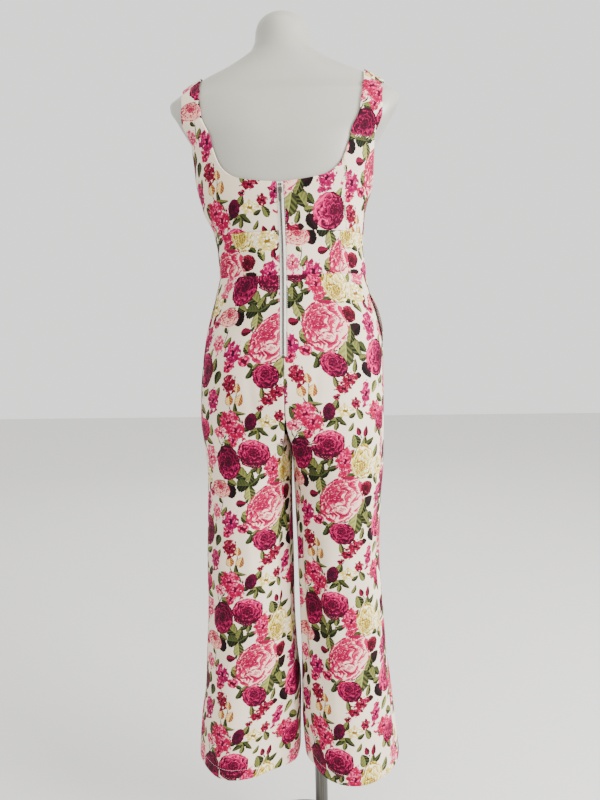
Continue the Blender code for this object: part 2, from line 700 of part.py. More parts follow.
SLIDER_HALF = 0.0036
SLIDER_DEEP = 0.0034
SLIDER_BACK = back_face(SLIDER_TOP) + GAP + 0.0001
SLIDER_FACE = SLIDER_BACK + SLIDER_DEEP
BAR_RADIUS = 0.0005
BAR_CLEAR = 0.0006
PULL_Z = (SLIDER_TOP + SLIDER_BOTTOM) / 2 + 0.0010
PULL_Y = SLIDER_FACE + BAR_RADIUS + BAR_CLEAR
ARCH_WALL = 0.0008
ARCH_HALF = 0.0008
ARCH_STEPS = 8


def slider():
    """Slider body with the half-round bridge that the pull hangs from."""
    metal = material("zip_slider", ZIP_METAL, 0.3, 1.0)
    low = (-SLIDER_HALF, SLIDER_BACK, SLIDER_BOTTOM)
    high = (SLIDER_HALF, SLIDER_FACE, SLIDER_TOP)
    body = box("zip_slider", low, high, metal, bevel=0.0006)
    inner = BAR_RADIUS + BAR_CLEAR
    outer = inner + ARCH_WALL
    sink = 0.0004
    points = []
    angles = np.linspace(0.0, math.pi, ARCH_STEPS + 1)
    outline = [(outer, -BAR_CLEAR - BAR_RADIUS - sink)]
    outline += [(outer * math.cos(a), outer * math.sin(a)) for a in angles]
    outline += [(-outer, -BAR_CLEAR - BAR_RADIUS - sink), (-inner, -BAR_CLEAR - BAR_RADIUS - sink)]
    outline += [(inner * math.cos(a), inner * math.sin(a)) for a in reversed(angles)]
    outline += [(inner, -BAR_CLEAR - BAR_RADIUS - sink)]
    for x in (-ARCH_HALF, ARCH_HALF):
        points += [(x, PULL_Y + out, PULL_Z + up) for up, out in outline]
    count = len(outline)
    faces = [(k, (k + 1) % count, count + (k + 1) % count, count + k) for k in range(count)]
    pairs = ARCH_STEPS + 2
    for k in range(pairs):
        a, b = k, k + 1
        c, d = count - 2 - k, count - 1 - k
        faces.append((a, b, c, d))
        faces.append((count + d, count + c, count + b, count + a))
    bridge = object_from("bridge", points, faces, metal)
    join = body.modifiers.new("bridge", "BOOLEAN")
    join.operation = "UNION"
    join.object = bridge
    bridge.hide_render = True
    bridge.display_type = "WIRE"
    return body


slider()

PULL_LENGTH = 0.0210
PULL_HALF_TOP = 0.0022
PULL_HALF_LOW = 0.0030
EYE_HALF = 0.0013
EYE_LENGTH = 0.0032


def pull():
    """Pull tab: a tongue with an eye; its origin is on the bar that turns in the bridge."""
    metal = material("zip_pull", ZIP_METAL, 0.3, 1.0)
    r = BAR_RADIUS
    outline = [
        (-PULL_HALF_TOP, r), (PULL_HALF_TOP, r), (PULL_HALF_TOP, -EYE_LENGTH),
        (PULL_HALF_LOW, -PULL_LENGTH + 0.003), (PULL_HALF_LOW - 0.001, -PULL_LENGTH),
        (-PULL_HALF_LOW + 0.001, -PULL_LENGTH), (-PULL_HALF_LOW, -PULL_LENGTH + 0.003),
        (-PULL_HALF_TOP, -EYE_LENGTH),
    ]
    eye = [(-EYE_HALF, -r), (EYE_HALF, -r), (EYE_HALF, -EYE_LENGTH), (-EYE_HALF, -EYE_LENGTH)]
    flat = outline + eye
    front = [(0, 1, 9, 8), (1, 2, 10, 9), (0, 8, 11, 7), (7, 11, 10, 2), (7, 2, 3, 6), (6, 3, 4, 5)]
    count = len(flat)
    points = [(x, y, up) for y in (r, -r) for x, up in flat]
    faces = list(front) + [tuple(count + i for i in reversed(face)) for face in front]
    for ring in (list(range(8)), [11, 10, 9, 8]):
        for a, b in zip(ring, ring[1:] + ring[:1]):
            faces.append((b, a, count + a, count + b))
    made = object_from("zip_pull", points, faces, metal)
    made.location = (0.0, PULL_Y, PULL_Z)


pull()

STOP_RISE = 0.0014
TOP_STOP = SLIDER_TOP + 0.0022
TOP_STOP_LENGTH = 0.0040
stop_y = back_face(TOP_STOP + TOP_STOP_LENGTH) + GAP + 0.0001
for side, sign in (("L", 1), ("R", -1)):
    x = sorted((sign * 0.0009, sign * 0.0030))
    low = (x[0], stop_y, TOP_STOP)
    high = (x[1], stop_y + STOP_RISE, TOP_STOP + TOP_STOP_LENGTH)
    box("zip_stop_top_" + side, low, high, material("zip_stop_top_" + side, ZIP_METAL, 0.35, 1.0), 0.0003)

stop_z = ZIP_END + 0.0015
stop_y = max(back_face(stop_z), back_face(stop_z + 0.003)) + GAP + 0.0002
low, high = (-0.0028, stop_y, stop_z), (0.0028, stop_y + 0.0016, stop_z + 0.0030)
box("zip_stop_bottom", low, high, material("zip_stop_bottom", ZIP_METAL, 0.35, 1.0), 0.0003)


# --- dress form and stand --------------------------------------------------------

FORM_LEVELS = [z for z in FORM["z"] if z > FORM_BOTTOM + 0.024] + [1.336, 1.350, 1.392, 1.405]
FORM_LEVELS = sorted(FORM_LEVELS + [FORM_BOTTOM + 0.024])
QUARTER = 7
END_POINTS = 2
END_EVEN = 26.0         # turn of the second-last column where there is no flat end
END_NARROW = 9.0        # and on the level of the flat end's two tips


def quarter_turns(z):
    """Turns from the middle to the side, with one point on the flat end's corner."""
    edge = float(smooth(FORM, "half_w", z))
    corner = float(turn_of(edge, z))
    if corner < END_NARROW:
        at_tip = STUMP_LOW - 0.005 < z < STUMP_HIGH + 0.005
        corner = END_NARROW if at_tip else END_EVEN
    even = 1.0 - np.linspace(0.0, 1.0, QUARTER + 1) ** 1.15
    curved = corner + (90.0 - corner) * even
    flat = np.linspace(corner, 0.0, END_POINTS + 1)[1:]
    return np.concatenate([curved, flat])


def dress_form():
    """The torso: closed sections from the rounded bottom edge to the neck cap."""
    rings = []
    for z in FORM_LEVELS:
        quarter = quarter_turns(z)
        left = np.concatenate([quarter, -quarter[::-1][1:]])
        right = 180.0 - left[::-1][1:-1]
        rings.append(form(np.concatenate([left, right]), np.full(len(left) + len(right), z)))
    full = rings[0]
    for up, scale in list(zip(*BOTTOM_EDGE.values()))[-2::-1]:
        rings.insert(0, full * np.array([scale, scale, 0.0]) + np.array([0.0, 0.0, FORM_BOTTOM + up]))
    count = len(full)
    points = [p for ring in rings for p in ring]
    faces = []
    for i in range(len(rings) - 1):
        for j in range(count):
            k = (j + 1) % count
            faces.append((i * count + j, i * count + k, (i + 1) * count + k, (i + 1) * count + j))
    top, base = len(points), len(points) + 1
    points += [np.array([0.0, 0.0, NECK_CAP_TOP]), np.array([0.0, 0.0, FORM_BOTTOM])]
    last = (len(rings) - 1) * count
    for j in range(count):
        k = (j + 1) % count
        faces += [(last + j, last + k, top), (k, j, base)]
    return object_from("form_torso", points, faces, material("form_torso", FORM_WHITE, 0.25))


dress_form()

for made in bpy.data.objects:
    if made.name == "zip_pull":
        made.location.z += LIFT
    else:
        made.data.transform(Matrix.Translation((0.0, 0.0, LIFT)))


def turned(name, profile, centre, finish, steps=40):
    """A solid turned about a vertical line, from (radius, height) points."""
    points, faces = [], []
    for step in range(steps):
        a = 2 * math.pi * step / steps
        points += [(centre + r * math.cos(a), r * math.sin(a), h) for r, h in profile]
    count = len(profile)
    for step in range(steps):
        for k in range(count):
            a, b = step * count + k, step * count + (k + 1) % count
            c = ((step + 1) % steps) * count
            faces.append((a, b, c + (k + 1) % count, c + k))
    return object_from(name, points, faces, finish)


def solid_disc(name, profile, centre, finish, steps=40):
    """A turned solid that is closed on its own line by a flat face at each end."""
    points, faces = [], []
    for r, h in profile:
        for step in range(steps):
            a = 2 * math.pi * step / steps
            points.append((centre + r * math.cos(a), r * math.sin(a), h))
    for i in range(len(profile) - 1):
        for j in range(steps):
            k = (j + 1) % steps
            faces.append((i * steps + j, i * steps + k, (i + 1) * steps + k, (i + 1) * steps + j))
    faces.append(tuple(reversed(range(steps))))
    faces.append(tuple((len(profile) - 1) * steps + j for j in range(steps)))
    return object_from(name, points, faces, finish)


POLE_FOOT = BASE_HEIGHT + GAP
pole_line = [(POLE_RADIUS, POLE_FOOT), (POLE_RADIUS, FORM_BOTTOM + LIFT - GAP)]
solid_disc("stand_pole", pole_line, POLE_X, material("stand_pole", POLE_STEEL, 0.3, 1.0), 28)

SOCKET_BORE = POLE_RADIUS + GAP
SOCKET_RADIUS = 0.0200
SOCKET_TOP = 0.0420
socket_line = [
    (SOCKET_BORE, POLE_FOOT), (SOCKET_RADIUS + 0.010, POLE_FOOT), (SOCKET_RADIUS + 0.010, POLE_FOOT + 0.003),
    (SOCKET_RADIUS, POLE_FOOT + 0.006), (SOCKET_RADIUS, SOCKET_TOP - 0.0015),
    (SOCKET_RADIUS - 0.0015, SOCKET_TOP), (SOCKET_BORE, SOCKET_TOP),
]
turned("stand_socket", socket_line, POLE_X, material("stand_socket", POLE_STEEL, 0.3, 1.0), 28)

base_line = [
    (BASE_RADIUS - 0.002, 0.0), (BASE_RADIUS, 0.002), (BASE_RADIUS, BASE_HEIGHT - 0.003),
    (BASE_RADIUS - 0.003, BASE_HEIGHT),
]
solid_disc("stand_base", base_line, 0.0, material("stand_base", POLE_STEEL, 0.35, 1.0), 56)
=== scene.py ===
"""A sleeveless, wide-leg jumpsuit in floral cotton, shown from behind on a white dress form."""
import math

import bpy
import numpy as np
from mathutils import Matrix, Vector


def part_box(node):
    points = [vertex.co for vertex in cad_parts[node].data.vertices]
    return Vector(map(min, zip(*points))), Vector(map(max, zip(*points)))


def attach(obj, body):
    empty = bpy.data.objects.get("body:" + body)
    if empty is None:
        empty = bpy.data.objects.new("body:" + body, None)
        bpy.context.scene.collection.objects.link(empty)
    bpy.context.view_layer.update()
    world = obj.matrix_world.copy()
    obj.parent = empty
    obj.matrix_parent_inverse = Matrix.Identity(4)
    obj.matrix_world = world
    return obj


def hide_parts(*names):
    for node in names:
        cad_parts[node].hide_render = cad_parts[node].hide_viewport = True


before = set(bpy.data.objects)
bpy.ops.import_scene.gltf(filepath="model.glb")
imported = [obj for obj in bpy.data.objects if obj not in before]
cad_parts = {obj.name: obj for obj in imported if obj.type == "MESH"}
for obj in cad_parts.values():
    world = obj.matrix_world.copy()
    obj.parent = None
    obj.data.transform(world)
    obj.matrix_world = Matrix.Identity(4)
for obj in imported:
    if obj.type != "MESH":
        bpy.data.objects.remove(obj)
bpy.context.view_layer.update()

# ---------------------------------------------------------------------------------
# Camera. It stands a little over a metre behind the form, at waist height, turned
# slightly to the wearer's left side, tipped down and leaning a little.
# ---------------------------------------------------------------------------------
LIFT = 0.1900           # heights are counted from here, this far above the floor
CAMERA_AWAY = 1.19      # metres from the form's own line
CAMERA_HEIGHT = 1.02 + LIFT
CAMERA_SIDE = 0.017
CAMERA_DOWN = math.radians(8.0)
CAMERA_TURN = math.radians(4.7)
CAMERA_LEAN = math.radians(1.39)
FOCAL_SHARE = 601 / 800     # focal length as a share of the picture's height
SENSOR = 36.0

ahead = np.array([
    math.sin(CAMERA_TURN) * math.cos(CAMERA_DOWN),
    -math.cos(CAMERA_TURN) * math.cos(CAMERA_DOWN),
    -math.sin(CAMERA_DOWN),
])
level = np.array([-math.cos(CAMERA_TURN), -math.sin(CAMERA_TURN), 0.0])
upward = np.cross(level, ahead)
eye = np.array([-CAMERA_AWAY * math.sin(CAMERA_TURN), CAMERA_AWAY * math.cos(CAMERA_TURN), CAMERA_HEIGHT])
eye = eye + CAMERA_SIDE * level
right = level * math.cos(CAMERA_LEAN) - upward * math.sin(CAMERA_LEAN)
above = level * math.sin(CAMERA_LEAN) + upward * math.cos(CAMERA_LEAN)
lens = bpy.data.cameras.new("camera")
lens.sensor_fit = "VERTICAL"
lens.sensor_height = SENSOR
lens.lens = SENSOR * FOCAL_SHARE
lens.clip_start = 0.02
camera = bpy.data.objects.new("camera", lens)
bpy.context.scene.collection.objects.link(camera)
place = np.eye(4)
place[:3, 0], place[:3, 1], place[:3, 2], place[:3, 3] = right, above, -ahead, eye
camera.matrix_world = Matrix(place.tolist())
bpy.context.scene.camera = camera

BODY = "jumpsuit_on_form"


# ---------------------------------------------------------------------------------
# Dress form: a limbless women's shell of glass-fibre and resin, sprayed satin white,
# with flat ends where the arms are left off and a rounded cap on the neck.
# ---------------------------------------------------------------------------------
def table(columns, *rows):
    """A short table as a dictionary of named columns."""
    values = np.array(rows, dtype=float)
    return {name: values[:, i] for i, name in enumerate(columns.split())}


FORM = table(
    "z       half_w  back    front   square",
    (0.690, 0.1700, 0.1080, 0.0960, 2.30),
    (0.800, 0.1720, 0.1190, 0.1000, 2.40),
    (0.880, 0.1690, 0.1250, 0.1030, 2.40),
    (0.930, 0.1630, 0.1235, 0.1060, 2.40),
    (0.975, 0.1555, 0.1160, 0.1070, 2.35),
    (1.015, 0.1455, 0.1060, 0.1050, 2.30),
    (1.055, 0.1345, 0.0965, 0.1010, 2.25),
    (1.100, 0.1265, 0.0880, 0.0960, 2.20),
    (1.140, 0.1275, 0.0860, 0.0945, 2.20),
    (1.180, 0.1345, 0.0915, 0.1000, 2.25),
    (1.225, 0.1475, 0.0985, 0.1080, 2.40),
    (1.265, 0.1605, 0.1040, 0.1120, 2.50),
    (1.300, 0.1660, 0.1045, 0.1050, 2.50),
    (1.332, 0.1730, 0.1010, 0.0940, 2.50),
    (1.3720, 0.1920, 0.0910, 0.0790, 2.50),
    (1.4120, 0.2155, 0.0770, 0.0630, 2.40),
    (1.4210, 0.2075, 0.0720, 0.0580, 2.30),
    (1.4335, 0.1882, 0.0650, 0.0530, 2.25),
    (1.4560, 0.1507, 0.0570, 0.0490, 2.20),
    (1.4740, 0.1085, 0.0530, 0.0480, 2.10),
    (1.4885, 0.0795, 0.0515, 0.0485, 2.05),
    (1.5005, 0.0602, 0.0510, 0.0490, 2.00),
    (1.5190, 0.0510, 0.0505, 0.0495, 2.00),
    (1.5365, 0.0487, 0.0490, 0.0487, 2.00),
    (1.5480, 0.0441, 0.0445, 0.0441, 2.00),
    (1.5555, 0.0372, 0.0378, 0.0374, 2.00),
    (1.5620, 0.0261, 0.0268, 0.0264, 2.00),
    (1.5655, 0.0120, 0.0126, 0.0124, 2.00),
)
FORM_BOTTOM = 0.8600
BOTTOM_ROUND = 0.0240
CAP_TOP = 1.5668
STUMP_LOW, STUMP_HIGH = 1.330, 1.412
STUMP_CUT = 0.0165          # how much further out the section would reach without the flat end
STUMP_EDGE = 0.0035         # rounding of the flat end's rim
BUST_HEIGHT, BUST_OUT, BUST_RISE, BUST_SPREAD = 1.2620, 0.0800, 0.0210, 0.0420
STEP = 1e-4


def smooth(rows, column, at, key="z"):
    """Cubic through a column's values; its slope is the harmonic mean of its neighbours'."""
    x, y = rows[key], rows[column]
    run = np.diff(x)
    slope = np.diff(y) / run
    tangent = np.zeros_like(y)
    same = slope[:-1] * slope[1:] > 0
    total = np.where(same, slope[:-1] + slope[1:], 1.0)
    tangent[1:-1] = np.where(same, 2 * slope[:-1] * slope[1:] / total, 0.0)
    tangent[0], tangent[-1] = slope[0], slope[-1]
    at = np.clip(at, x[0], x[-1])
    i = np.clip(np.searchsorted(x, at, side="right") - 1, 0, len(run) - 1)
    t = (at - x[i]) / run[i]
    value = y[i] * (1 + 2 * t) * (1 - t) ** 2 + tangent[i] * run[i] * t * (1 - t) ** 2
    return value + y[i + 1] * t * t * (3 - 2 * t) + tangent[i + 1] * run[i] * t * t * (t - 1)


def power(value, exponent):
    """A power that keeps the sign."""
    return np.sign(value) * np.abs(value) ** exponent


def ramp(value, low, high):
    """0 below low, 1 above high, 3t^2 - 2t^3 between."""
    t = np.clip((value - low) / (high - low), 0.0, 1.0)
    return t * t * (3 - 2 * t)


def full_width(z):
    """Half width without the flat end: the table's, plus a cosine-squared hump."""
    middle, reach = (STUMP_LOW + STUMP_HIGH) / 2, (STUMP_HIGH - STUMP_LOW) / 2
    share = np.clip((z - middle) / reach, -1.0, 1.0)
    return smooth(FORM, "half_w", z) + STUMP_CUT * np.cos(np.pi * share / 2) ** 2


def form(turn, z, soft=1e-5):
    """Superellipse section: x = width cos^(2/n), y = depth sin^(2/n), with x cut at the
    flat end by a soft minimum, and two Gaussian rises at the bust. turn is in degrees:
    0 at the wearer's left, 90 behind."""
    angle = np.radians(turn)
    across, along = np.cos(angle), np.sin(angle)
    n = smooth(FORM, "square", z)
    depth = np.where(along >= 0, smooth(FORM, "back", z), smooth(FORM, "front", z))
    edge = smooth(FORM, "half_w", z)
    free = full_width(z) * np.abs(across) ** (2 / n)
    cut = (free + edge - np.sqrt((free - edge) ** 2 + soft**2)) / 2
    inside = (z > STUMP_LOW - 0.01) & (z < STUMP_HIGH + 0.004)
    x = np.sign(across) * np.where(inside, cut, np.minimum(free, edge))
    lobe = ((np.abs(x) - BUST_OUT) ** 2 + (z - BUST_HEIGHT) ** 2) / (2 * BUST_SPREAD**2)
    y = depth * power(along, 2 / n) - BUST_RISE * np.exp(-lobe) * ramp(-along, 0.0, 0.7)
    return np.stack([x, y, z + 0 * x], axis=-1)


def shell(name, points, quads, closes=(), sharp=180.0, lift=LIFT):
    """A smooth object at the origin from an array of points, raised by lift, an array of
    four-cornered faces and a list of end faces. Edges that turn more than sharp degrees
    stay crisp."""
    mesh = bpy.data.meshes.new(name)
    raised = points + np.array([0.0, 0.0, lift])
    mesh.from_pydata(raised.tolist(), [], quads.tolist() + [list(c) for c in closes])
    mesh.shade_smooth()
    if sharp < 180.0:
        mesh.set_sharp_from_angle(angle=math.radians(sharp))
    made = bpy.data.objects.new(name, mesh)
    bpy.context.scene.collection.objects.link(made)
    return made


def cells(rows, columns, wrap=False):
    """Corner numbers of a grid's cells; wrap joins the last column to the first."""
    i = np.arange(rows - 1)[:, None] * columns
    j = np.arange(columns if wrap else columns - 1)[None, :]
    k = (j + 1) % columns
    return np.stack([i + j, i + k, i + columns + k, i + columns + j], axis=-1).reshape(-1, 4)


def linear(hexes):
    """An sRGB hex colour as linear red, green, blue and alpha."""
    parts = [int(hexes[i:i + 2], 16) / 255 for i in (1, 3, 5)]
    return (*[c / 12.92 if c <= 0.04045 else ((c + 0.055) / 1.055) ** 2.4 for c in parts], 1.0)


def add(material, kind, *sources, out=0, stops=(), hold=False, **settings):
    """Adds a node of a kind, whose operation may follow a full stop: sources fill its
    inputs in order (a socket, a value, or None to skip), settings are its own fields,
    stops a ramp's places and colours, which hold does not blend. It returns the output
    numbered out."""
    tree = material.node_tree
    kind, _, operation = kind.partition(".")
    made = tree.nodes.new("ShaderNode" + kind)
    if operation:
        made.operation = operation
    for field, value in settings.items():
        setattr(made, field, value)
    if stops:
        ramp_of = made.color_ramp
        ramp_of.interpolation = "CONSTANT" if hold else "LINEAR"
        ramp_of.elements.remove(ramp_of.elements[1])
        for i, (place, colour) in enumerate(stops):
            stop = ramp_of.elements[0] if i == 0 else ramp_of.elements.new(place)
            stop.position, stop.color = place, linear(colour)
    for socket, source in zip(made.inputs, sources):
        if isinstance(source, bpy.types.NodeSocket):
            tree.links.new(source, socket)
        elif source is not None:
            socket.default_value = source
    return made.outputs[out]


def finish(name, **values):
    """A Principled material; values are its sockets' settings or links."""
    made = bpy.data.materials.new(name)
    made.use_nodes = True
    surface = made.node_tree.nodes["Principled BSDF"]
    for label, value in values.items():
        surface.inputs[label.replace("_", " ")].default_value = value
    return made, surface


def feed(material, source, surface, label):
    """Links a socket to one of the surface's inputs."""
    material.node_tree.links.new(source, surface.inputs[label])


def mottled(material, surface, dark, light, scale, detail=2.0, rough=0.5, ends=(0.3, 0.7), where=None):
    """Noise that takes the surface's colour from dark to light between its two ends. It
    returns the noise, for the surface's shine or bump."""
    where = where or add(material, "TexCoord", out=3)
    noise = add(material, "TexNoise", where, None, scale, detail, rough)
    tone = add(material, "ValToRGB", noise, stops=list(zip(ends, (dark, light))))
    feed(material, tone, surface, "Base Color")
    return noise


def settle(made, slot, materials, *nodes):
    """Gives a piece its materials, hides the imported parts of the names given, and hangs it from its body.
    slot is not used.
    """
    for material in materials:
        made.data.materials.append(material)
    if nodes:
        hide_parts(*nodes)
    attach(made, BODY)
    return made


# Sprayed satin enamel on glass-fibre: a broad soft gloss over a faint orange peel.
PEEL_MM = 9.0
enamel, surface = finish("satin_enamel", Roughness=0.34, Coat_Weight=0.12, Coat_Roughness=0.3)
mottled(enamel, surface, "#9C9A8F", "#A19F94", 9.0, 3.0)
peel = add(enamel, "TexNoise", add(enamel, "TexCoord", out=3), None, 1000 / PEEL_MM, 2.0, 0.5)
feed(enamel, add(enamel, "Bump", 0.05, 0.001, 0.1, peel), surface, "Normal")

AROUND, UP = 232, 200
ROW_SHARES, ROW_HEIGHTS = (0.0, 0.55, 0.8, 1.0), (FORM_BOTTOM + BOTTOM_ROUND, 1.31, 1.45, FORM["z"][-1])
RIM_PULL = 1.5              # degrees by which columns move towards the flat ends' rims
BOTTOM_DRAW = 0.10          # how much narrower the bottom's edge is
heights = np.interp(np.linspace(0, 1, UP), ROW_SHARES, ROW_HEIGHTS)     # more rows at the shoulders
turns = np.arange(AROUND) * 360.0 / AROUND
turns = turns - RIM_PULL * np.sin(np.radians(4 * turns))
rings = form(turns[None, :], heights[:, None], STUMP_EDGE)
curl = np.linspace(0.0, math.pi / 2, 9)[:-1]
scale = (1 - BOTTOM_DRAW * (1 - np.sin(curl)))[:, None, None]
under = rings[:1] * np.stack([scale, scale, 0 * scale], axis=-1)[..., 0, :]
under[..., 2] = (FORM_BOTTOM + BOTTOM_ROUND * (1 - np.cos(curl)))[:, None]
inward = np.array([0.66, 0.33])[:, None, None]      # two rings close the cap
crown = rings[-1] * np.concatenate([inward, inward, 0 * inward], axis=-1)
crown[..., 2] = (CAP_TOP - (CAP_TOP - heights[-1]) * inward**2)[..., 0]
rings = np.concatenate([under, rings, crown])
points = rings.reshape(-1, 3)
last = len(points) - AROUND
closes = [list(range(AROUND))[::-1], list(range(last, last + AROUND))]
dress_form = shell("dress_form", points, cells(len(rings), AROUND, wrap=True), closes)
settle(dress_form, "form_shell", [enamel], "form_torso")


# ---------------------------------------------------------------------------------
# Stand: a drawn steel tube that rises inside the right leg, screwed into a turned
# socket on a round pressed base plate. All of it is satin nickel plated.
# ---------------------------------------------------------------------------------
def lathe(name, profile, centre, steps=72):
    """Carries a (radius, height) profile once round a vertical line at x = centre."""
    profile = np.array(profile)
    a = np.arange(steps) * 2 * np.pi / steps
    x = centre + profile[:, :1] * np.cos(a)
    y = profile[:, :1] * np.sin(a)
    points = np.stack([x, y, np.broadcast_to(profile[:, 1:], x.shape)], axis=-1).reshape(-1, 3)
    ends = len(points) - steps
    caps = [list(range(steps))[::-1], list(range(ends, ends + steps))]
    return shell(name, points, cells(len(profile), steps, wrap=True), caps, sharp=40, lift=0.0)


# Drawn steel, nickel plated and brushed along: dull grey, with streaks up its length.
STREAK_MM = (2.4, 2.4, 170.0)
plate, surface = finish("nickel_plated_steel", Metallic=1.0, Roughness=0.32)
drawn = add(plate, "Mapping", add(plate, "TexCoord", out=3), None, None, [1000 / mm for mm in STREAK_MM])
grain = mottled(plate, surface, "#4A4844", "#6A6863", 1.0, 3.0, 0.6, where=drawn)
feed(plate, add(plate, "MapRange", grain, 0.0, 1.0, 0.26, 0.42), surface, "Roughness")

pole_low, pole_high = (np.array(corner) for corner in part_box("stand_pole"))
socket_low, socket_high = (np.array(corner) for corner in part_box("stand_socket"))
base_low, base_high = (np.array(corner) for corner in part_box("stand_base"))
pole_x = (pole_low[0] + pole_high[0]) / 2
pole_r = (pole_high[0] - pole_low[0]) / 2
foot_r = (socket_high[0] - socket_low[0]) / 2
base_r = (base_high[0] - base_low[0]) / 2
pole = lathe("pole", [(pole_r, pole_low[2]), (pole_r, pole_high[2])], pole_x)
collar_top = socket_high[2]
collar = lathe("pole_socket", [
    (pole_r + 0.0003, socket_low[2]), (foot_r - 0.0006, socket_low[2]), (foot_r, socket_low[2] + 0.0006),
    (foot_r, socket_low[2] + 0.0024), (foot_r - 0.0012, socket_low[2] + 0.0032),
    (foot_r - 0.0070, socket_low[2] + 0.0042), (foot_r - 0.0095, socket_low[2] + 0.0075),
    (foot_r - 0.0100, collar_top - 0.0020), (foot_r - 0.0106, collar_top - 0.0006),
    (foot_r - 0.0120, collar_top), (pole_r + 0.0010, collar_top), (pole_r + 0.0003, collar_top - 0.0008),
    (pole_r + 0.0003, socket_low[2] + 0.0001),
], pole_x)
base = lathe("base_plate", [
    (base_r - 0.0016, base_low[2]), (base_r - 0.0004, base_low[2] + 0.0004), (base_r, base_low[2] + 0.0016),
    (base_r, base_high[2] - 0.0036), (base_r - 0.0008, base_high[2] - 0.0018),
    (base_r - 0.0030, base_high[2] - 0.0005), (base_r - 0.0070, base_high[2]),
], 0.0, steps=144)
for made, node in ((pole, "stand_pole"), (collar, "stand_socket"), (base, "stand_base")):
    settle(made, "stand_steel", [plate], node)


# ---------------------------------------------------------------------------------
# How the jumpsuit hangs. Bodice and band follow the form with a little ease; the
# trousers leave it at the hip and below the seat become a tube round each leg. Heavy
# folds hang from hip to hem, and small drag lines run where the cloth is held.
# ---------------------------------------------------------------------------------
CLOTH = 0.0012
BAG_CLOTH = 0.0010
GAP = 0.0003                # left between pieces that meet at a seam
LEVEL_GAP = 0.0002
SHOULDER_TOP = 1.4580
MIDRIFF_SEAM, WAIST_SEAM = 1.1710, 1.0920
NECK_BACK, ZIP_END = 1.2517, 0.9470
SEAT_TURN, FORK, LEG_WHOLE, HEM = 0.8350, 0.7850, 0.6950, 0.1000
ZIP_HALF, TAPE_HALF, TAPE_INNER = 0.0057, 0.0054, 0.0008

EASE = table(
    "z       left    right   back    front",
    (0.690, 0.0060, 0.0090, 0.0040, 0.0040),
    (0.810, 0.0085, 0.0105, 0.0060, 0.0060),
    (0.900, 0.0075, 0.0150, 0.0080, 0.0090),
    (0.975, 0.0080, 0.0240, 0.0080, 0.0100),
    (1.015, 0.0080, 0.0240, 0.0075, 0.0100),
    (1.055, 0.0080, 0.0230, 0.0065, 0.0090),
    (1.100, 0.0060, 0.0235, 0.0055, 0.0070),
    (1.140, 0.0068, 0.0175, 0.0050, 0.0060),
    (1.180, 0.0065, 0.0125, 0.0048, 0.0058),
    (1.222, 0.0120, 0.0060, 0.0045, 0.0058),
    (1.265, 0.0080, 0.0054, 0.0045, 0.0070),
    (1.300, 0.0060, 0.0045, 0.0045, 0.0050),
    (1.480, 0.0045, 0.0045, 0.0045, 0.0045),
)
LEG = table(
    "z      out_L   out_R   in_L     in_R    back    front",
    (0.095, 0.2185, 0.2120, -0.0005, 0.0115, 0.1080, 0.0900),
    (0.190, 0.2080, 0.2015, -0.0040, 0.0070, 0.1030, 0.0880),
    (0.245, 0.1985, 0.1960, -0.0055, 0.0075, 0.0995, 0.0870),
    (0.330, 0.1920, 0.1855, 0.0010, 0.0085, 0.0965, 0.0860),
    (0.422, 0.1855, 0.1795, 0.0045, 0.0072, 0.0940, 0.0860),
    (0.530, 0.1820, 0.1725, 0.0038, 0.0055, 0.0940, 0.0870),
    (0.650, 0.1750, 0.1755, 0.0038, 0.0030, 0.0990, 0.0900),
    (0.720, 0.1715, 0.1810, 0.0024, 0.0012, 0.1060, 0.0940),
    (0.765, 0.1705, 0.1820, 0.0012, 0.0010, 0.1130, 0.0970),
    (0.840, 0.1790, 0.1825, 0.0010, 0.0010, 0.1240, 0.1020),
)
LEG_SQUARE = 2.15
RING_CORNER = 40.0          # share of the leg's turn, in degrees, on the middle plane
SIDE_SEAM = table(
    "z      left  right",
    (0.095, 14.0, 14.0),
    (0.700, 14.5, 13.0),
    (0.850, 18.0, 10.0),
    (0.960, 23.0, 9.0),
    (1.040, 22.0, 8.0),
    (1.092, 17.0, 7.5),
    (1.171, 10.0, 7.5),
    (1.262, 7.5, 7.5),
)
# Heavy folds: place round the leg (0 inside, 90 behind, 180 out), width, rise, heights.
FOLDS = {
    "L": table(
        "turn   width  rise     low    high   at_hem",
        (107.0, 16.0, 0.0100, 0.000, 0.420, 1),
        (57.0, 18.0, -0.0110, 0.000, 0.400, 1),
        (24.0, 9.0, 0.0050, 0.000, 0.300, 1),
        (142.0, 8.0, -0.0035, 0.330, 0.800, 0),
        (285.0, 20.0, 0.0070, 0.000, 0.450, 1),
        (322.0, 15.0, -0.0080, 0.000, 0.480, 1),
        (232.0, 14.0, -0.0050, 0.000, 0.560, 1),
    ),
    "R": table(
        "turn   width  rise     low    high   at_hem",
        (60.0, 8.0, -0.0095, 0.180, 0.680, 0),
        (74.0, 10.0, 0.0040, 0.200, 0.640, 0),
        (90.0, 20.0, 0.0090, 0.000, 0.380, 1),
        (38.0, 10.0, -0.0060, 0.000, 0.260, 1),
        (148.0, 9.0, -0.0035, 0.300, 0.760, 0),
        (270.0, 20.0, 0.0070, 0.000, 0.430, 1),
        (318.0, 14.0, -0.0080, 0.000, 0.520, 1),
        (228.0, 14.0, -0.0045, 0.000, 0.600, 1),
    ),
}
MOUTH_LOW, MOUTH_HIGH = 0.9620, 1.0560
PROUD = {"L": 0.0020, "R": 0.0075}      # how far each pocket mouth gapes
PROUD_REACH = 20.0

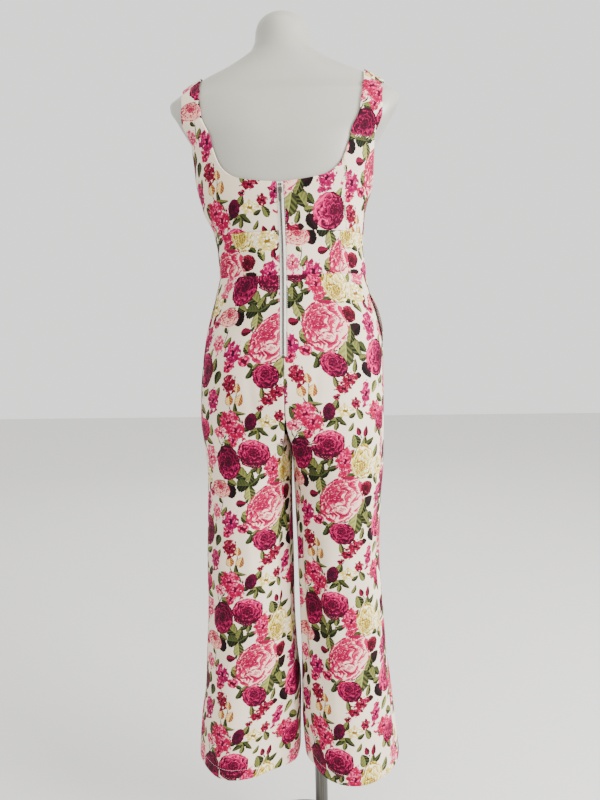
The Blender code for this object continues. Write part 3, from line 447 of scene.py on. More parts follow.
# Small creases of the trousers, as the heavy folds, with a lean in degrees per metre.
CREASES = {
    "L": table(
        "turn   width  rise     low    high   lean",
        (66.0, 3.2, -0.0016, 0.800, 0.950, 60.0),
        (36.0, 4.0, -0.0042, 0.100, 0.760, 8.0),
        (24.0, 3.4, 0.0030, 0.130, 0.690, -5.0),
        (30.0, 5.0, -0.0036, 0.640, 0.880, 70.0),
        (58.0, 4.5, -0.0026, 0.130, 0.620, 14.0),
        (118.0, 4.0, 0.0014, 0.840, 1.080, -50.0),
        (128.0, 3.5, -0.0013, 0.700, 1.010, 20.0),
        (84.0, 4.5, 0.0018, 0.420, 0.800, 25.0),
        (98.0, 4.0, -0.0014, 0.240, 0.700, -15.0),
        (150.0, 4.5, 0.0016, 0.160, 0.640, 10.0),
        (48.0, 4.0, 0.0020, 0.330, 0.740, -35.0),
        (124.0, 4.0, -0.0015, 0.100, 0.330, -30.0),
        (76.0, 5.0, 0.0020, 0.060, 0.300, 20.0),
        (210.0, 5.0, -0.0018, 0.300, 0.950, 15.0),
        (254.0, 5.0, 0.0016, 0.500, 1.040, -25.0),
        (296.0, 4.5, -0.0017, 0.720, 0.920, 60.0),
        (268.0, 4.0, 0.0015, 0.150, 0.600, 12.0),
        (306.0, 4.0, 0.0016, 0.100, 0.520, -20.0),
        (240.0, 4.0, -0.0014, 0.080, 0.420, 18.0),
    ),
    "R": table(
        "turn   width  rise     low    high   lean",
        (64.0, 3.0, -0.0015, 0.820, 0.960, 55.0),
        (33.0, 4.0, -0.0042, 0.110, 0.750, -8.0),
        (22.0, 3.4, 0.0030, 0.150, 0.660, 6.0),
        (28.0, 5.0, -0.0036, 0.650, 0.880, 70.0),
        (72.0, 4.5, -0.0026, 0.150, 0.600, -12.0),
        (112.0, 4.0, -0.0013, 0.880, 1.070, -45.0),
        (130.0, 4.0, 0.0016, 0.560, 0.980, 20.0),
        (160.0, 5.0, -0.0016, 0.500, 0.900, 8.0),
        (104.0, 4.0, 0.0015, 0.300, 0.760, -18.0),
        (118.0, 3.5, -0.0014, 0.120, 0.560, 12.0),
        (50.0, 3.5, 0.0018, 0.360, 0.760, 28.0),
        (84.0, 4.0, -0.0015, 0.120, 0.440, -22.0),
        (140.0, 4.5, 0.0015, 0.080, 0.360, 16.0),
        (206.0, 5.0, 0.0016, 0.260, 0.900, -12.0),
        (248.0, 5.0, -0.0017, 0.460, 1.020, 22.0),
        (292.0, 4.5, 0.0017, 0.700, 0.900, -60.0),
        (262.0, 4.0, -0.0014, 0.120, 0.540, -14.0),
        (304.0, 4.0, 0.0015, 0.120, 0.560, 18.0),
    ),
}
# And of the bodice and band, placed by their turn round the body.
BODICE_CREASES = table(
    "turn   width  rise     low    high   lean",
    (74.0, 3.5, -0.0011, 1.176, 1.246, 160.0),
    (62.0, 3.0, 0.0008, 1.180, 1.256, -120.0),
    (100.0, 3.2, 0.0008, 1.176, 1.250, -140.0),
    (112.0, 3.5, -0.0009, 1.190, 1.262, 90.0),
    (40.0, 4.0, -0.0010, 1.096, 1.168, -260.0),
    (28.0, 4.0, 0.0009, 1.100, 1.170, -300.0),
    (134.0, 4.5, 0.0010, 1.096, 1.168, 240.0),
    (150.0, 4.0, -0.0010, 1.100, 1.172, 200.0),
    (38.0, 3.0, 0.0008, 1.280, 1.420, 60.0),
    (144.0, 3.0, -0.0008, 1.270, 1.410, -60.0),
    (-60.0, 5.0, -0.0010, 1.100, 1.200, 150.0),
    (-122.0, 5.0, 0.0010, 1.100, 1.200, -150.0),
)


def normals(surface, p, z):
    """Outward normals of surface(p, z): the cross product of its slopes along p and up."""
    cross = np.cross(surface(p + 1.0, z) - surface(p - 1.0, z), surface(p, z + STEP) - surface(p, z - STEP))
    return cross / np.maximum(np.linalg.norm(cross, axis=-1, keepdims=True), 1e-12)


def torso(turn, z):
    """Outside of the cloth over the torso: the form moved out by the ease, which goes
    from its side value to its end value as cosine squared and sine squared."""
    angle = np.radians(turn)
    side = np.where(np.cos(angle) >= 0, smooth(EASE, "left", z), smooth(EASE, "right", z))
    end = np.where(np.sin(angle) >= 0, smooth(EASE, "back", z), smooth(EASE, "front", z))
    ease = side * np.cos(angle) ** 2 + end * np.sin(angle) ** 2
    return form(turn, z) + normals(form, turn, z) * ease[..., None]


def turn_of(x, z, back=True):
    """Turn at which the form's section is x from the middle: the superellipse inverted."""
    share = np.clip(x / full_width(z), 0.0, 1.0)
    turn = np.degrees(np.arccos(share ** (smooth(FORM, "square", z) / 2)))
    return turn if back else -turn


def ring_turn(psi):
    """Torso turn for a place round the leg."""
    return 90.0 - 180.0 * (psi - RING_CORNER) / (360.0 - 2 * RING_CORNER)


def leg_turn(turn):
    """Place round the leg for a torso turn on the wearer's left."""
    return RING_CORNER + (90.0 - turn) * (360.0 - 2 * RING_CORNER) / 180.0


def side_seam(z, side):
    """Place of the side seam round the leg."""
    return leg_turn(smooth(SIDE_SEAM, "left" if side == "L" else "right", z))


def half_ring(psi, z, side):
    """Half of the torso ring, closed along the middle plane."""
    turn = np.clip(ring_turn(np.clip(psi, RING_CORNER, 360.0 - RING_CORNER)), -90 + 1e-6, 90 - 1e-6)
    point = torso(turn if side == "L" else 180.0 - turn, z)
    x, y = np.abs(point[..., 0]), point[..., 1]
    inward = np.where(psi < 180, psi, 360.0 - psi) / RING_CORNER
    flat = [np.where(inward < 1, 0.0, x), np.where(inward < 1, y * inward, y), point[..., 2]]
    return np.stack(flat, axis=-1)


def tube(psi, z, side):
    """One leg's superellipse, between its inside and outside edges."""
    angle = np.radians(psi)
    out, inner = smooth(LEG, "out_" + side, z), smooth(LEG, "in_" + side, z)
    depth = np.where(psi <= 180, smooth(LEG, "back", z), smooth(LEG, "front", z))
    x = (out + inner) / 2 - (out - inner) / 2 * power(np.cos(angle), 2 / LEG_SQUARE)
    return np.stack([x, depth * power(np.sin(angle), 2 / LEG_SQUARE), z + 0 * x], axis=-1)


def folds(psi, z, side):
    """Sum of Gaussian ridges and troughs; each fades up its height as sine squared, or
    from the hem upwards."""
    total = np.zeros(np.broadcast(psi, z).shape)
    for turn, width, rise, low, high, at_hem in zip(*FOLDS[side].values()):
        reach = np.sin(np.pi * np.clip((z - low) / (high - low), 0.0, 1.0)) ** 2
        if at_hem:
            reach = 1.0 - ramp(z, HEM, high)
        total = total + rise * reach * np.exp(-(((psi - turn) / width) ** 2) / 2)
    return total


def creases(rows, turn, z):
    """Sum of narrow Gaussian creases that lean: each is centred on turn + lean (z - its
    own middle height), and fades to both of its ends as sine squared."""
    total = np.zeros(np.broadcast(turn, z).shape)
    for at, width, rise, low, high, lean in zip(*rows.values()):
        reach = np.sin(np.pi * np.clip((z - low) / (high - low), 0.0, 1.0)) ** 2
        line = at + lean * (z - (low + high) / 2)
        total = total + rise * reach * np.exp(-(((turn - line) / width) ** 2) / 2)
    return total


def leg(psi, z, side, proud=True):
    """Outside of the trousers: ring above and tube below, mixed by a soft step, moved
    out by the folds and, in front of the side seam, by the gaping pocket mouth."""
    share = 1.0 - ramp(z, LEG_WHOLE, SEAT_TURN + 0.01)
    point = half_ring(psi, z, side) * (1 - share[..., None]) + tube(psi, z, side) * share[..., None]
    out = folds(psi, z, side)
    if proud:
        start = side_seam(z, side)
        mouth = np.sin(np.pi * np.clip((z - MOUTH_LOW) / (MOUTH_HIGH - MOUTH_LOW), 0, 1)) ** 0.8
        fade = 1.0 - ramp(psi - start, 0.0, PROUD_REACH)
        out = out + np.where(psi >= start, PROUD[side] * mouth * fade, 0.0)
    angle = np.radians(psi)
    point[..., 0] -= out * np.cos(angle)
    point[..., 1] += out * np.sin(angle)
    point[..., 0] = np.maximum(point[..., 0], np.where(z > FORK, GAP / 2, -1.0))
    if side == "R":
        point[..., 0] *= -1
    return point


def centre_start(z, before=False):
    """Place of the centre seam, which turns in to the fork as a quarter circle."""
    drop = np.clip((SEAT_TURN - z) / (SEAT_TURN - FORK), 0.0, 1.0)
    inward = RING_CORNER * np.sqrt(1 - drop**2)
    return 360.0 - inward if before else inward


# ---------------------------------------------------------------------------------
# Printed cotton: a close rotary-printed floral on warm white, in crimson, pink, cream
# and olive, with a repeat of 24 by 32 cm. The chart places each flower, spray and leaf
# in centimetres, across and up, from the middle of the largest rose.
# ---------------------------------------------------------------------------------
REPEAT = (24.0, 32.0)

FLOWERS = table(
    "across up    long wide turn  heart_p heart_q kind light shade toward",
    (0.0, 0.0, 5.1, 4.0, 50.0, -0.10, 0.42, 0, 1.16, 0.50, -35.0),
    (-2.8, 10.7, 3.2, 2.9, 15.0, 0.05, 0.15, 1, 0.55, 0.85, 75.0),
    (-8.1, 8.9, 3.5, 2.6, 82.0, 0.05, -0.05, 2, 0.55, 0.35, -100.0),
    (4.1, 7.1, 3.4, 2.5, 88.0, -0.35, 0.05, 3, 1.00, 0.40, 20.0),
    (-0.3, -6.8, 2.6, 2.2, -25.0, -0.20, 0.25, 4, 0.60, 0.50, 130.0),
    (4.8, 1.7, 1.7, 1.5, 30.0, 0.10, 0.10, 5, 0.70, 0.40, 90.0),
    (9.4, -6.2, 3.4, 3.0, 60.0, 0.20, -0.25, 6, 0.72, 0.90, 165.0),
    (-10.2, 3.5, 2.4, 1.8, -8.0, 0.10, 0.30, 7, 1.32, 0.45, -80.0),
    (-2.5, -15.0, 1.7, 1.2, 75.0, 0.15, 0.10, 8, 0.55, 0.30, 60.0),
    (9.6, 14.6, 2.6, 2.2, 30.0, 0.10, 0.15, 1, 0.75, 0.60, 70.0),
)
FLOWER_INKS = (
    ("#7A0030", "#AC1048", "#E8BAAA"),
    ("#3A0018", "#9A0E46", "#DC3E74"),
    ("#2E0014", "#7E0438", "#BC2460"),
    ("#745808", "#C8B04C", "#EEE6C8"),
    ("#320016", "#8E0A40", "#CE3064"),
    ("#200009", "#58031C", "#BC2A46"),
    ("#3A0018", "#940E48", "#D8386C"),
    ("#740028", "#A21540", "#E6AC9A"),
    ("#240010", "#500026", "#800036"),
)
SPRAYS = table(
    "across up    long wide turn  bloom kind",
    (0.5, 7.3, 2.5, 1.25, 88.0, 1.25, 0),
    (-7.0, -15.3, 1.9, 1.5, 40.0, 1.35, 0),
    (-5.6, -16.9, 1.8, 1.6, 100.0, 1.35, 0),
    (-9.1, -17.3, 1.4, 0.9, 10.0, 1.15, 4),
    (-6.4, -18.9, 1.0, 0.8, 90.0, 1.15, 0),
    (-4.9, -4.1, 1.0, 0.9, 0.0, 1.60, 0),
    (-7.3, -3.0, 1.9, 1.3, 110.0, 1.40, 3),
    (-7.9, -5.2, 1.0, 0.9, 60.0, 1.20, 0),
    (-7.2, -8.4, 1.6, 1.1, 100.0, 1.00, 1),
    (2.0, -9.6, 1.6, 0.9, 20.0, 1.05, 1),
    (0.6, -11.0, 1.4, 0.8, 10.0, 1.05, 1),
    (-0.8, -12.4, 0.6, 0.5, 10.0, 1.00, 1),
    (0.4, -15.0, 1.5, 0.9, 10.0, 1.20, 2),
    (2.8, -13.9, 0.9, 0.8, 10.0, 0.85, 1),
    (5.2, -12.4, 1.9, 0.9, 80.0, 1.20, 3),
    (8.6, 5.4, 1.9, 1.5, 30.0, 1.40, 2),
    (8.9, -0.6, 2.2, 1.2, 75.0, 1.20, 3),
    (11.2, 2.4, 0.9, 0.8, 20.0, 1.40, 0),
    (11.2, 9.4, 2.2, 1.5, 60.0, 1.30, 4),
    (7.2, -15.6, 1.7, 1.3, 20.0, 1.20, 0),
    (-11.0, -11.6, 1.9, 1.2, 90.0, 1.20, 3),
    (-11.0, -1.4, 1.4, 1.0, 100.0, 1.00, 4),
)
SPRAY_INKS = (
    ("#4C001C", "#930236", "#D24374"),
    ("#24000C", "#65021F", "#9A1C43"),
    ("#745610", "#CCB45E", "#EEEACE"),
    ("#310019", "#7E003D", "#C42A68"),
    ("#73082B", "#B82B57", "#E29C9E"),
)
LEAVES = table(
    "across up    long  wide turn  bend kind",
    # under and beside the largest rose
    (-5.7, 6.8, 1.65, 1.43, -36.0, 0.1, 0),
    (-4.0, 6.1, 1.49, 0.91, 75.0, 0.1, 0),
    (-3.2, 5.1, 1.38, 0.78, 38.0, 0.1, 6),
    (-5.4, 4.6, 1.32, 1.49, 0.0, 0.0, 6),
    (-4.0, 2.9, 1.65, 1.17, 100.0, 0.1, 1),
    (-3.5, 3.9, 1.00, 0.12, -50.0, 0.1, 3),
    (-2.2, 7.9, 1.43, 0.65, 85.0, 0.1, 0),
    (-3.3, 7.4, 1.10, 0.52, 30.0, 0.1, 6),
    (-1.6, 6.2, 1.26, 0.65, 20.0, 0.1, 6),
    (-0.9, 9.1, 1.16, 0.98, 10.0, 0.3, 1),
    (1.7, 4.6, 1.10, 0.65, 10.0, 0.0, 6),
    (-5.5, 0.9, 1.04, 0.81, 8.0, 0.0, 4),
    (-4.4, 1.4, 0.77, 0.34, 55.0, 0.2, 6),
    (-4.0, 0.4, 0.90, 0.11, -55.0, 0.2, 3),
    (-3.9, -0.9, 1.54, 0.78, 35.0, 0.1, 1),
    (-4.4, -2.4, 1.21, 0.78, -40.0, 0.1, 0),
    (-3.4, -4.9, 0.77, 0.47, -20.0, 0.0, 6),
    (2.3, -5.0, 2.37, 1.69, 78.0, 0.1, 1),
    (4.4, -4.1, 1.93, 1.43, -60.0, 0.1, 0),
    (4.1, -1.8, 1.76, 0.98, 70.0, 0.2, 0),
    (5.4, -0.9, 1.43, 1.23, 30.0, 0.0, 2),
    (0.9, -4.0, 1.43, 0.52, 20.0, 0.1, 6),
    (3.7, -7.2, 1.32, 0.55, 75.0, 0.1, 0),
    # round the round rose below it
    (-3.2, -6.3, 1.16, 0.62, 70.0, 0.4, 6),
    (-2.5, -5.1, 1.32, 0.44, 45.0, 0.1, 0),
    (-1.4, -4.7, 0.99, 0.39, 65.0, 0.1, 6),
    (-0.6, -9.7, 1.10, 0.55, 100.0, 0.1, 0),
    (4.2, -8.9, 0.61, 0.65, 0.0, 0.0, 2),
    (3.4, -8.6, 0.80, 0.12, 10.0, 0.1, 3),
    # round the streaked rose and the cream peony
    (2.5, 11.2, 1.38, 1.10, 105.0, 0.3, 0),
    (4.3, 10.5, 1.43, 0.78, 75.0, 0.2, 0),
    (5.6, 10.7, 1.21, 0.59, 30.0, 0.2, 6),
    (3.0, 12.9, 0.88, 0.59, 110.0, 0.0, 4),
    (4.6, 12.7, 1.10, 0.59, 80.0, 0.0, 4),
    (3.7, 11.6, 0.90, 0.11, -55.0, 0.1, 3),
    (4.5, 11.4, 0.70, 0.11, 80.0, 0.1, 3),
    (1.5, 8.9, 1.04, 0.59, 40.0, 0.1, 6),
    (5.7, 4.2, 1.21, 0.78, -40.0, 0.1, 6),
    # round the dark rose and the pink flower under it
    (-7.3, 12.7, 1.26, 0.78, -5.0, 0.1, 0),
    (-7.4, 11.6, 1.16, 0.65, -35.0, 0.1, 6),
    (-8.6, 12.7, 1.00, 0.13, 70.0, 0.3, 3),
    (-9.4, 12.9, 0.95, 0.13, 110.0, -0.3, 3),
    (-7.9, 13.8, 0.90, 0.16, 50.0, 0.3, 3),
    (-7.5, 5.0, 1.10, 0.81, -25.0, 0.1, 0),
    (-7.8, 3.7, 1.93, 1.23, 100.0, -0.2, 2),
    (-9.9, 4.9, 1.04, 0.52, 10.0, 0.2, 1),
    (-9.4, 0.0, 1.80, 0.10, 80.0, 0.3, 3),
    (-9.9, 1.1, 0.72, 0.42, -50.0, 0.1, 6),
    (-8.8, -1.0, 1.21, 0.65, 60.0, 0.2, 0),
    # tulips and their leaves
    (-7.0, -11.0, 1.20, 0.95, 100.0, 0.1, 5),
    (-5.5, -8.9, 0.95, 0.80, 90.0, 0.0, 5),
    (-4.9, -11.0, 1.20, 0.90, 75.0, -0.1, 5),
    (-5.6, -12.8, 1.32, 0.52, 95.0, 0.1, 6),
    (-4.8, -13.5, 1.43, 0.42, -8.0, 0.2, 0),
    (-5.0, -14.3, 1.16, 0.44, -50.0, -0.1, 6),
    (-6.6, -12.9, 0.80, 0.12, -60.0, 0.1, 3),
    (-5.5, -10.2, 0.90, 0.10, 85.0, 0.1, 3),
    # sprays at the foot of the repeat
    (-8.9, -15.0, 1.43, 0.98, 110.0, 0.1, 6),
    (-8.2, -13.8, 0.94, 0.59, 160.0, 0.1, 0),
    (-1.1, -13.8, 1.16, 0.78, 65.0, 0.1, 0),
    (-1.4, -16.6, 1.43, 0.65, 15.0, 0.2, 0),
    (-0.4, -17.0, 1.32, 0.55, -40.0, 0.1, 6),
    (-2.4, -17.2, 1.21, 0.55, 215.0, 0.1, 6),
    (-1.3, -17.6, 0.99, 0.52, 80.0, 0.1, 0),
    (-1.4, -19.3, 1.40, 0.11, 88.0, 0.1, 3),
    (1.9, -16.0, 0.88, 0.47, 30.0, 0.1, 6),
    # round the largest rose's neighbour on the far side
    (5.9, -4.2, 1.21, 0.85, -50.0, 0.1, 6),
    (5.8, -5.9, 1.04, 0.72, 10.0, 0.1, 0),
    (6.2, -8.2, 1.71, 1.10, -62.0, 0.1, 2),
    (9.4, -10.4, 1.30, 0.12, 95.0, 0.1, 3),
    (10.6, -10.2, 1.26, 0.72, 35.0, 0.2, 0),
    (7.6, 13.2, 1.32, 0.72, 80.0, 0.1, 1),
    (9.0, 12.0, 1.26, 0.78, -65.0, 0.1, 0),
    (9.8, 3.2, 1.04, 0.55, 95.0, 0.0, 4),
    (10.4, 4.4, 0.88, 0.52, 60.0, 0.0, 4),
    (9.7, 1.8, 0.95, 0.11, 85.0, 0.1, 3),
    (7.4, 8.6, 1.43, 0.78, 60.0, 0.3, 0),
    (10.4, 7.0, 1.38, 0.72, -40.0, 0.2, 6),
    (7.6, 3.0, 1.32, 0.78, -70.0, 0.1, 0),
    (11.2, -3.2, 1.26, 0.65, 60.0, 0.1, 1),
    (7.6, -11.2, 1.38, 0.78, 230.0, 0.1, 1),
    (9.4, -13.6, 1.43, 0.85, -30.0, 0.1, 0),
    (11.4, -14.4, 1.26, 0.72, 70.0, 0.1, 6),
    (3.4, -15.8, 1.21, 0.72, 120.0, 0.1, 0),
    (6.6, 15.4, 1.26, 0.65, 150.0, 0.1, 6),
    (11.6, 12.6, 1.26, 0.65, -20.0, 0.1, 0),
    (-11.2, -5.0, 1.38, 0.78, 80.0, 0.1, 0),
    (-10.2, -7.2, 1.38, 0.91, 250.0, 0.1, 6),
    (-9.8, -10.0, 1.26, 0.65, 60.0, 0.2, 0),
    (-11.4, 14.8, 1.26, 0.72, 80.0, 0.2, 1),
    (-3.2, 15.6, 1.21, 0.52, 20.0, 0.2, 6),
    (1.6, 13.8, 0.99, 0.44, 60.0, 0.2, 0),
)
LEAF_INKS = (
    ("#0E1208", "#6E7038"),
    ("#282C15", "#8F904C"),
    ("#0A0203", "#220A0F"),
    ("#101508", "#2C3010"),
    ("#24010B", "#78052F"),
    ("#7E3A06", "#E6C67C"),
    ("#0A0D05", "#3F4520"),
)
GROUND = "#E3D3BD"


def wrapped(value, size):
    """A difference brought to the nearest repeat."""
    return (value + size / 2) % size - size / 2


HALF_KIND = 5.0             # the third value of a leaf, which has none of its own


def charted(rows, u, v, extra=None, even=False):
    """For each face, the motif whose outline is nearest to its middle, and for each of
    its corners the place in that motif: along over half length, across over half width,
    and ten times the kind plus a third value. Lengths are in centimetres."""
    mid_u, mid_v = u.mean(axis=1), v.mean(axis=1)
    cosine, sine = np.cos(np.radians(rows["turn"])), np.sin(np.radians(rows["turn"]))
    du = wrapped(mid_u[:, None] - rows["across"], REPEAT[0])
    dv = wrapped(mid_v[:, None] - rows["up"], REPEAT[1])
    p = (du * cosine + dv * sine) / rows["long"]
    bend = rows.get("bend", 0.0 * rows["long"])
    q = (-du * sine + dv * cosine - bend * p * p) / rows["wide"]
    if even:
        away = (np.hypot(p, q) - 1) * np.sqrt(rows["long"] * rows["wide"])
    else:
        away = np.hypot(np.maximum(abs(p) - 1, 0) * rows["long"], np.maximum(abs(q) - 1, 0) * rows["wide"])
        away = away + 0.02 * np.hypot(p, q)
    best = np.argmin(away, axis=1)
    face = np.arange(len(best))
    du = du[face, best][:, None] + u - mid_u[:, None]
    dv = dv[face, best][:, None] + v - mid_v[:, None]
    c, s = cosine[best][:, None], sine[best][:, None]
    p = (du * c + dv * s) / rows["long"][best][:, None]
    q = (-du * s + dv * c - bend[best][:, None] * p * p) / rows["wide"][best][:, None]
    more = 0 * p + HALF_KIND
    if extra is not None:
        p, q, more = extra(rows, best, p, q)
    return np.stack([p, q, 10.0 * rows["kind"][best][:, None] + more], axis=-1)


def round_heart(rows, best, p, q):
    """Moves a flower's middle to its heart while its outline stays a circle: a place at
    the share t of the way from the heart to the outline goes to t from the middle. The
    third value is a shade from 0 to 2 that rises towards one side."""
    toward = np.radians(rows["toward"][best] - rows["turn"][best])[:, None]
    shade = rows["shade"][best][:, None] * (p * np.cos(toward) + q * np.sin(toward))
    shade = shade + rows["light"][best][:, None]
    hp, hq = rows["heart_p"][best][:, None], rows["heart_q"][best][:, None]
    length = np.maximum(np.hypot(p - hp, q - hq), 1e-9)
    a, b = (p - hp) / length, (q - hq) / length
    inward = hp * a + hq * b
    reach = -inward + np.sqrt(np.maximum(inward**2 + 1 - hp**2 - hq**2, 1e-6))
    t = length / reach
    return t * a, t * b, np.clip(shade, 0.0, 2.5)


def in_blooms(rows, best, p, q):
    """Counts a spray's places in blooms, and keeps its distance from the middle."""
    bloom = rows["bloom"][best][:, None]
    away = np.clip(np.hypot(p, q), 0.0, 3.0)
    return p * rows["long"][best][:, None] / bloom, q * rows["wide"][best][:, None] / bloom, away


def motif(cotton, layer, chart):
    """Reads one layer of the print: its vector, the place along and across the motif, the
    third value, the number of the kind, and a ramp stepped by kind for each tone of ink."""
    place = add(cotton, "Attribute", out=1, attribute_name=layer)
    along, over, code = add(cotton, "SeparateXYZ", place).node.outputs
    kind = add(cotton, "Math.FLOOR", add(cotton, "Math.DIVIDE", code, 10.0))
    third = add(cotton, "Math.MULTIPLY_ADD", kind, -10.0, code)
    share = add(cotton, "Math.DIVIDE", add(cotton, "Math.ADD", kind, 0.5), len(chart))
    steps = [i / len(chart) for i in range(len(chart))]
    ramps = [list(zip(steps, tones)) for tones in zip(*chart)]
    inks = [add(cotton, "ValToRGB", share, stops=stops, hold=True) for stops in ramps]
    return place, along, over, third, kind, inks


def inked(cotton, tone, inks, bounds, mask, under):
    """Three inks mixed by tone, with a smooth step between each pair of bounds, printed
    over the colour under them where the mask is 1."""
    ink = inks[0]
    for (low, high), lighter in zip(bounds, inks[1:]):
        share = add(cotton, "MapRange", tone, low, high, interpolation_type="SMOOTHSTEP")
        ink = add(cotton, "MixRGB", share, ink, lighter)
    return add(cotton, "MixRGB", mask, under, ink)


LEAF_FULL, LEAF_TAPER = 0.7, -0.3
LEAF_RIBS, RIB_SLANT = 15.0, 0.55       # ribs in a half length, as an angle; how far they slant
LEAF_EDGE, LEAF_RIM, LEAF_VEIN = 0.08, 0.24, 0.07


def leaf_ink(cotton, layer, under):
    """Paints one layer of leaves, buds and stems over a colour. Outline: half width
    (1 - p^2)^0.7 (1 - 0.3 p), made uneven by noise. One half is dark and the other light,
    both ribbed, with a light vein between them and a dark rim."""
    place, along, over, _, _, (dark, light) = motif(cotton, layer, LEAF_INKS)
    belly = add(cotton, "Math.SUBTRACT", 1.0, add(cotton, "Math.MULTIPLY", along, along))
    belly = add(cotton, "Math.POWER", add(cotton, "Math.MAXIMUM", belly, 0.0), LEAF_FULL)
    taper = add(cotton, "Math.MULTIPLY_ADD", along, LEAF_TAPER, 1.0)
    wavy = add(cotton, "TexNoise", place, None, 4.0, 1.0, 0.5, noise_dimensions="2D")
    wavy = add(cotton, "Math.MULTIPLY_ADD", wavy, 0.3, -0.15)
    half = add(cotton, "Math.MULTIPLY_ADD", belly, taper, wavy)
    away = add(cotton, "Math.ABSOLUTE", over)
    inside = add(cotton, "Math.SUBTRACT", half, away)
    mask = add(cotton, "Math.GREATER_THAN", inside, LEAF_EDGE)
    rib = add(cotton, "Math.MULTIPLY_ADD", away, RIB_SLANT, along)
    rib = add(cotton, "Math.SINE", add(cotton, "Math.MULTIPLY", rib, LEAF_RIBS))
    lit = add(cotton, "Math.GREATER_THAN", over, 0.0)
    tone = add(cotton, "Math.MULTIPLY_ADD", lit, 0.62, 0.10)
    tone = add(cotton, "Math.MULTIPLY_ADD", rib, 0.20, tone)
    vein = add(cotton, "Math.LESS_THAN", away, LEAF_VEIN)
    tone = add(cotton, "Math.ADD", tone, vein, use_clamp=True)
    rim = add(cotton, "Math.LESS_THAN", inside, LEAF_RIM)
    tone = add(cotton, "Math.MULTIPLY_ADD", rim, -0.50, tone, use_clamp=True)
    return add(cotton, "MixRGB", mask, under, add(cotton, "MixRGB", tone, dark, light))


HALF_PETALS = 2.5                       # five petals, as |cos(2.5 angle)|
PETAL_REACH, PETAL_FOOT = 0.26, 0.42
SPRAY_EDGE, SPRAY_CORE = 1.86, 1.90
SPRAY_STEPS = ((0.22, 0.32), (0.80, 0.94))


def spray_ink(cotton, layer, under):
    """Paints sprays of small five-petalled blooms: Voronoi cells one bloom wide, and in
    each a petal edge at 0.42 + 0.26 |cos(2.5 angle)|, dark at the eye, mid tone on the
    petal and light at its tip. Noise breaks the spray's own outline."""
    _, along, over, away, _, inks = motif(cotton, layer, SPRAY_INKS)
    flat = add(cotton, "CombineXYZ", along, over, 0.0)
    spot = add(cotton, "TexVoronoi", flat, None, 1.0, voronoi_dimensions="2D", feature="F1").node
    spot.inputs["Randomness"].default_value = 0.8
    local = add(cotton, "VectorMath.SUBTRACT", flat, spot.outputs["Position"])
    x, y, _ = add(cotton, "SeparateXYZ", local).node.outputs
    angle = add(cotton, "Math.ARCTAN2", y, x)
    angle = add(cotton, "Math.MULTIPLY_ADD", angle, HALF_PETALS, spot.outputs["Position"])
    petals = add(cotton, "Math.ABSOLUTE", add(cotton, "Math.COSINE", angle))
    edge = add(cotton, "Math.MULTIPLY_ADD", petals, PETAL_REACH, PETAL_FOOT)
    length = spot.outputs["Distance"]
    mottle = add(cotton, "TexNoise", flat, None, 3.4, 1.0, 0.5, noise_dimensions="2D")
    ragged = add(cotton, "TexNoise", flat, None, 1.1, 1.0, 0.5, noise_dimensions="2D")
    rim = add(cotton, "Math.MULTIPLY_ADD", ragged, 1.3, away)
    within = add(cotton, "Math.LESS_THAN", rim, SPRAY_EDGE)
    bloom = add(cotton, "Math.LESS_THAN", length, edge)
    core = add(cotton, "Math.LESS_THAN", add(cotton, "Math.MULTIPLY_ADD", mottle, 0.8, rim), SPRAY_CORE)
    shown = add(cotton, "Math.MAXIMUM", bloom, core)
    mask = add(cotton, "Math.MULTIPLY", shown, within)
    share = add(cotton, "Math.DIVIDE", length, edge)
    tint = add(cotton, "SeparateXYZ", spot.outputs["Color"])
    tone = add(cotton, "Math.MULTIPLY_ADD", petals, 0.55, -0.62)
    tone = add(cotton, "Math.MULTIPLY_ADD", mottle, 1.0, tone)
    tone = add(cotton, "Math.MULTIPLY_ADD", add(cotton, "Math.MINIMUM", share, 1.0), 0.45, tone)
    tone = add(cotton, "Math.MULTIPLY_ADD", tint, 0.35, tone)
    tone = add(cotton, "Math.MULTIPLY", tone, bloom)
    return inked(cotton, tone, inks, SPRAY_STEPS, mask, under)


PETAL_RINGS, RING_WAVE = 4.2, 0.46      # rings from heart to edge, and how far petals wave them
LOBES, TWIST = 3.5, 5.0                 # seven petals to a ring, turned from ring to ring
STREAKS = 6.4
FLOWER_EDGE = 2.12
FLOWER_STEPS = ((0.17, 0.33), (0.53, 0.67))


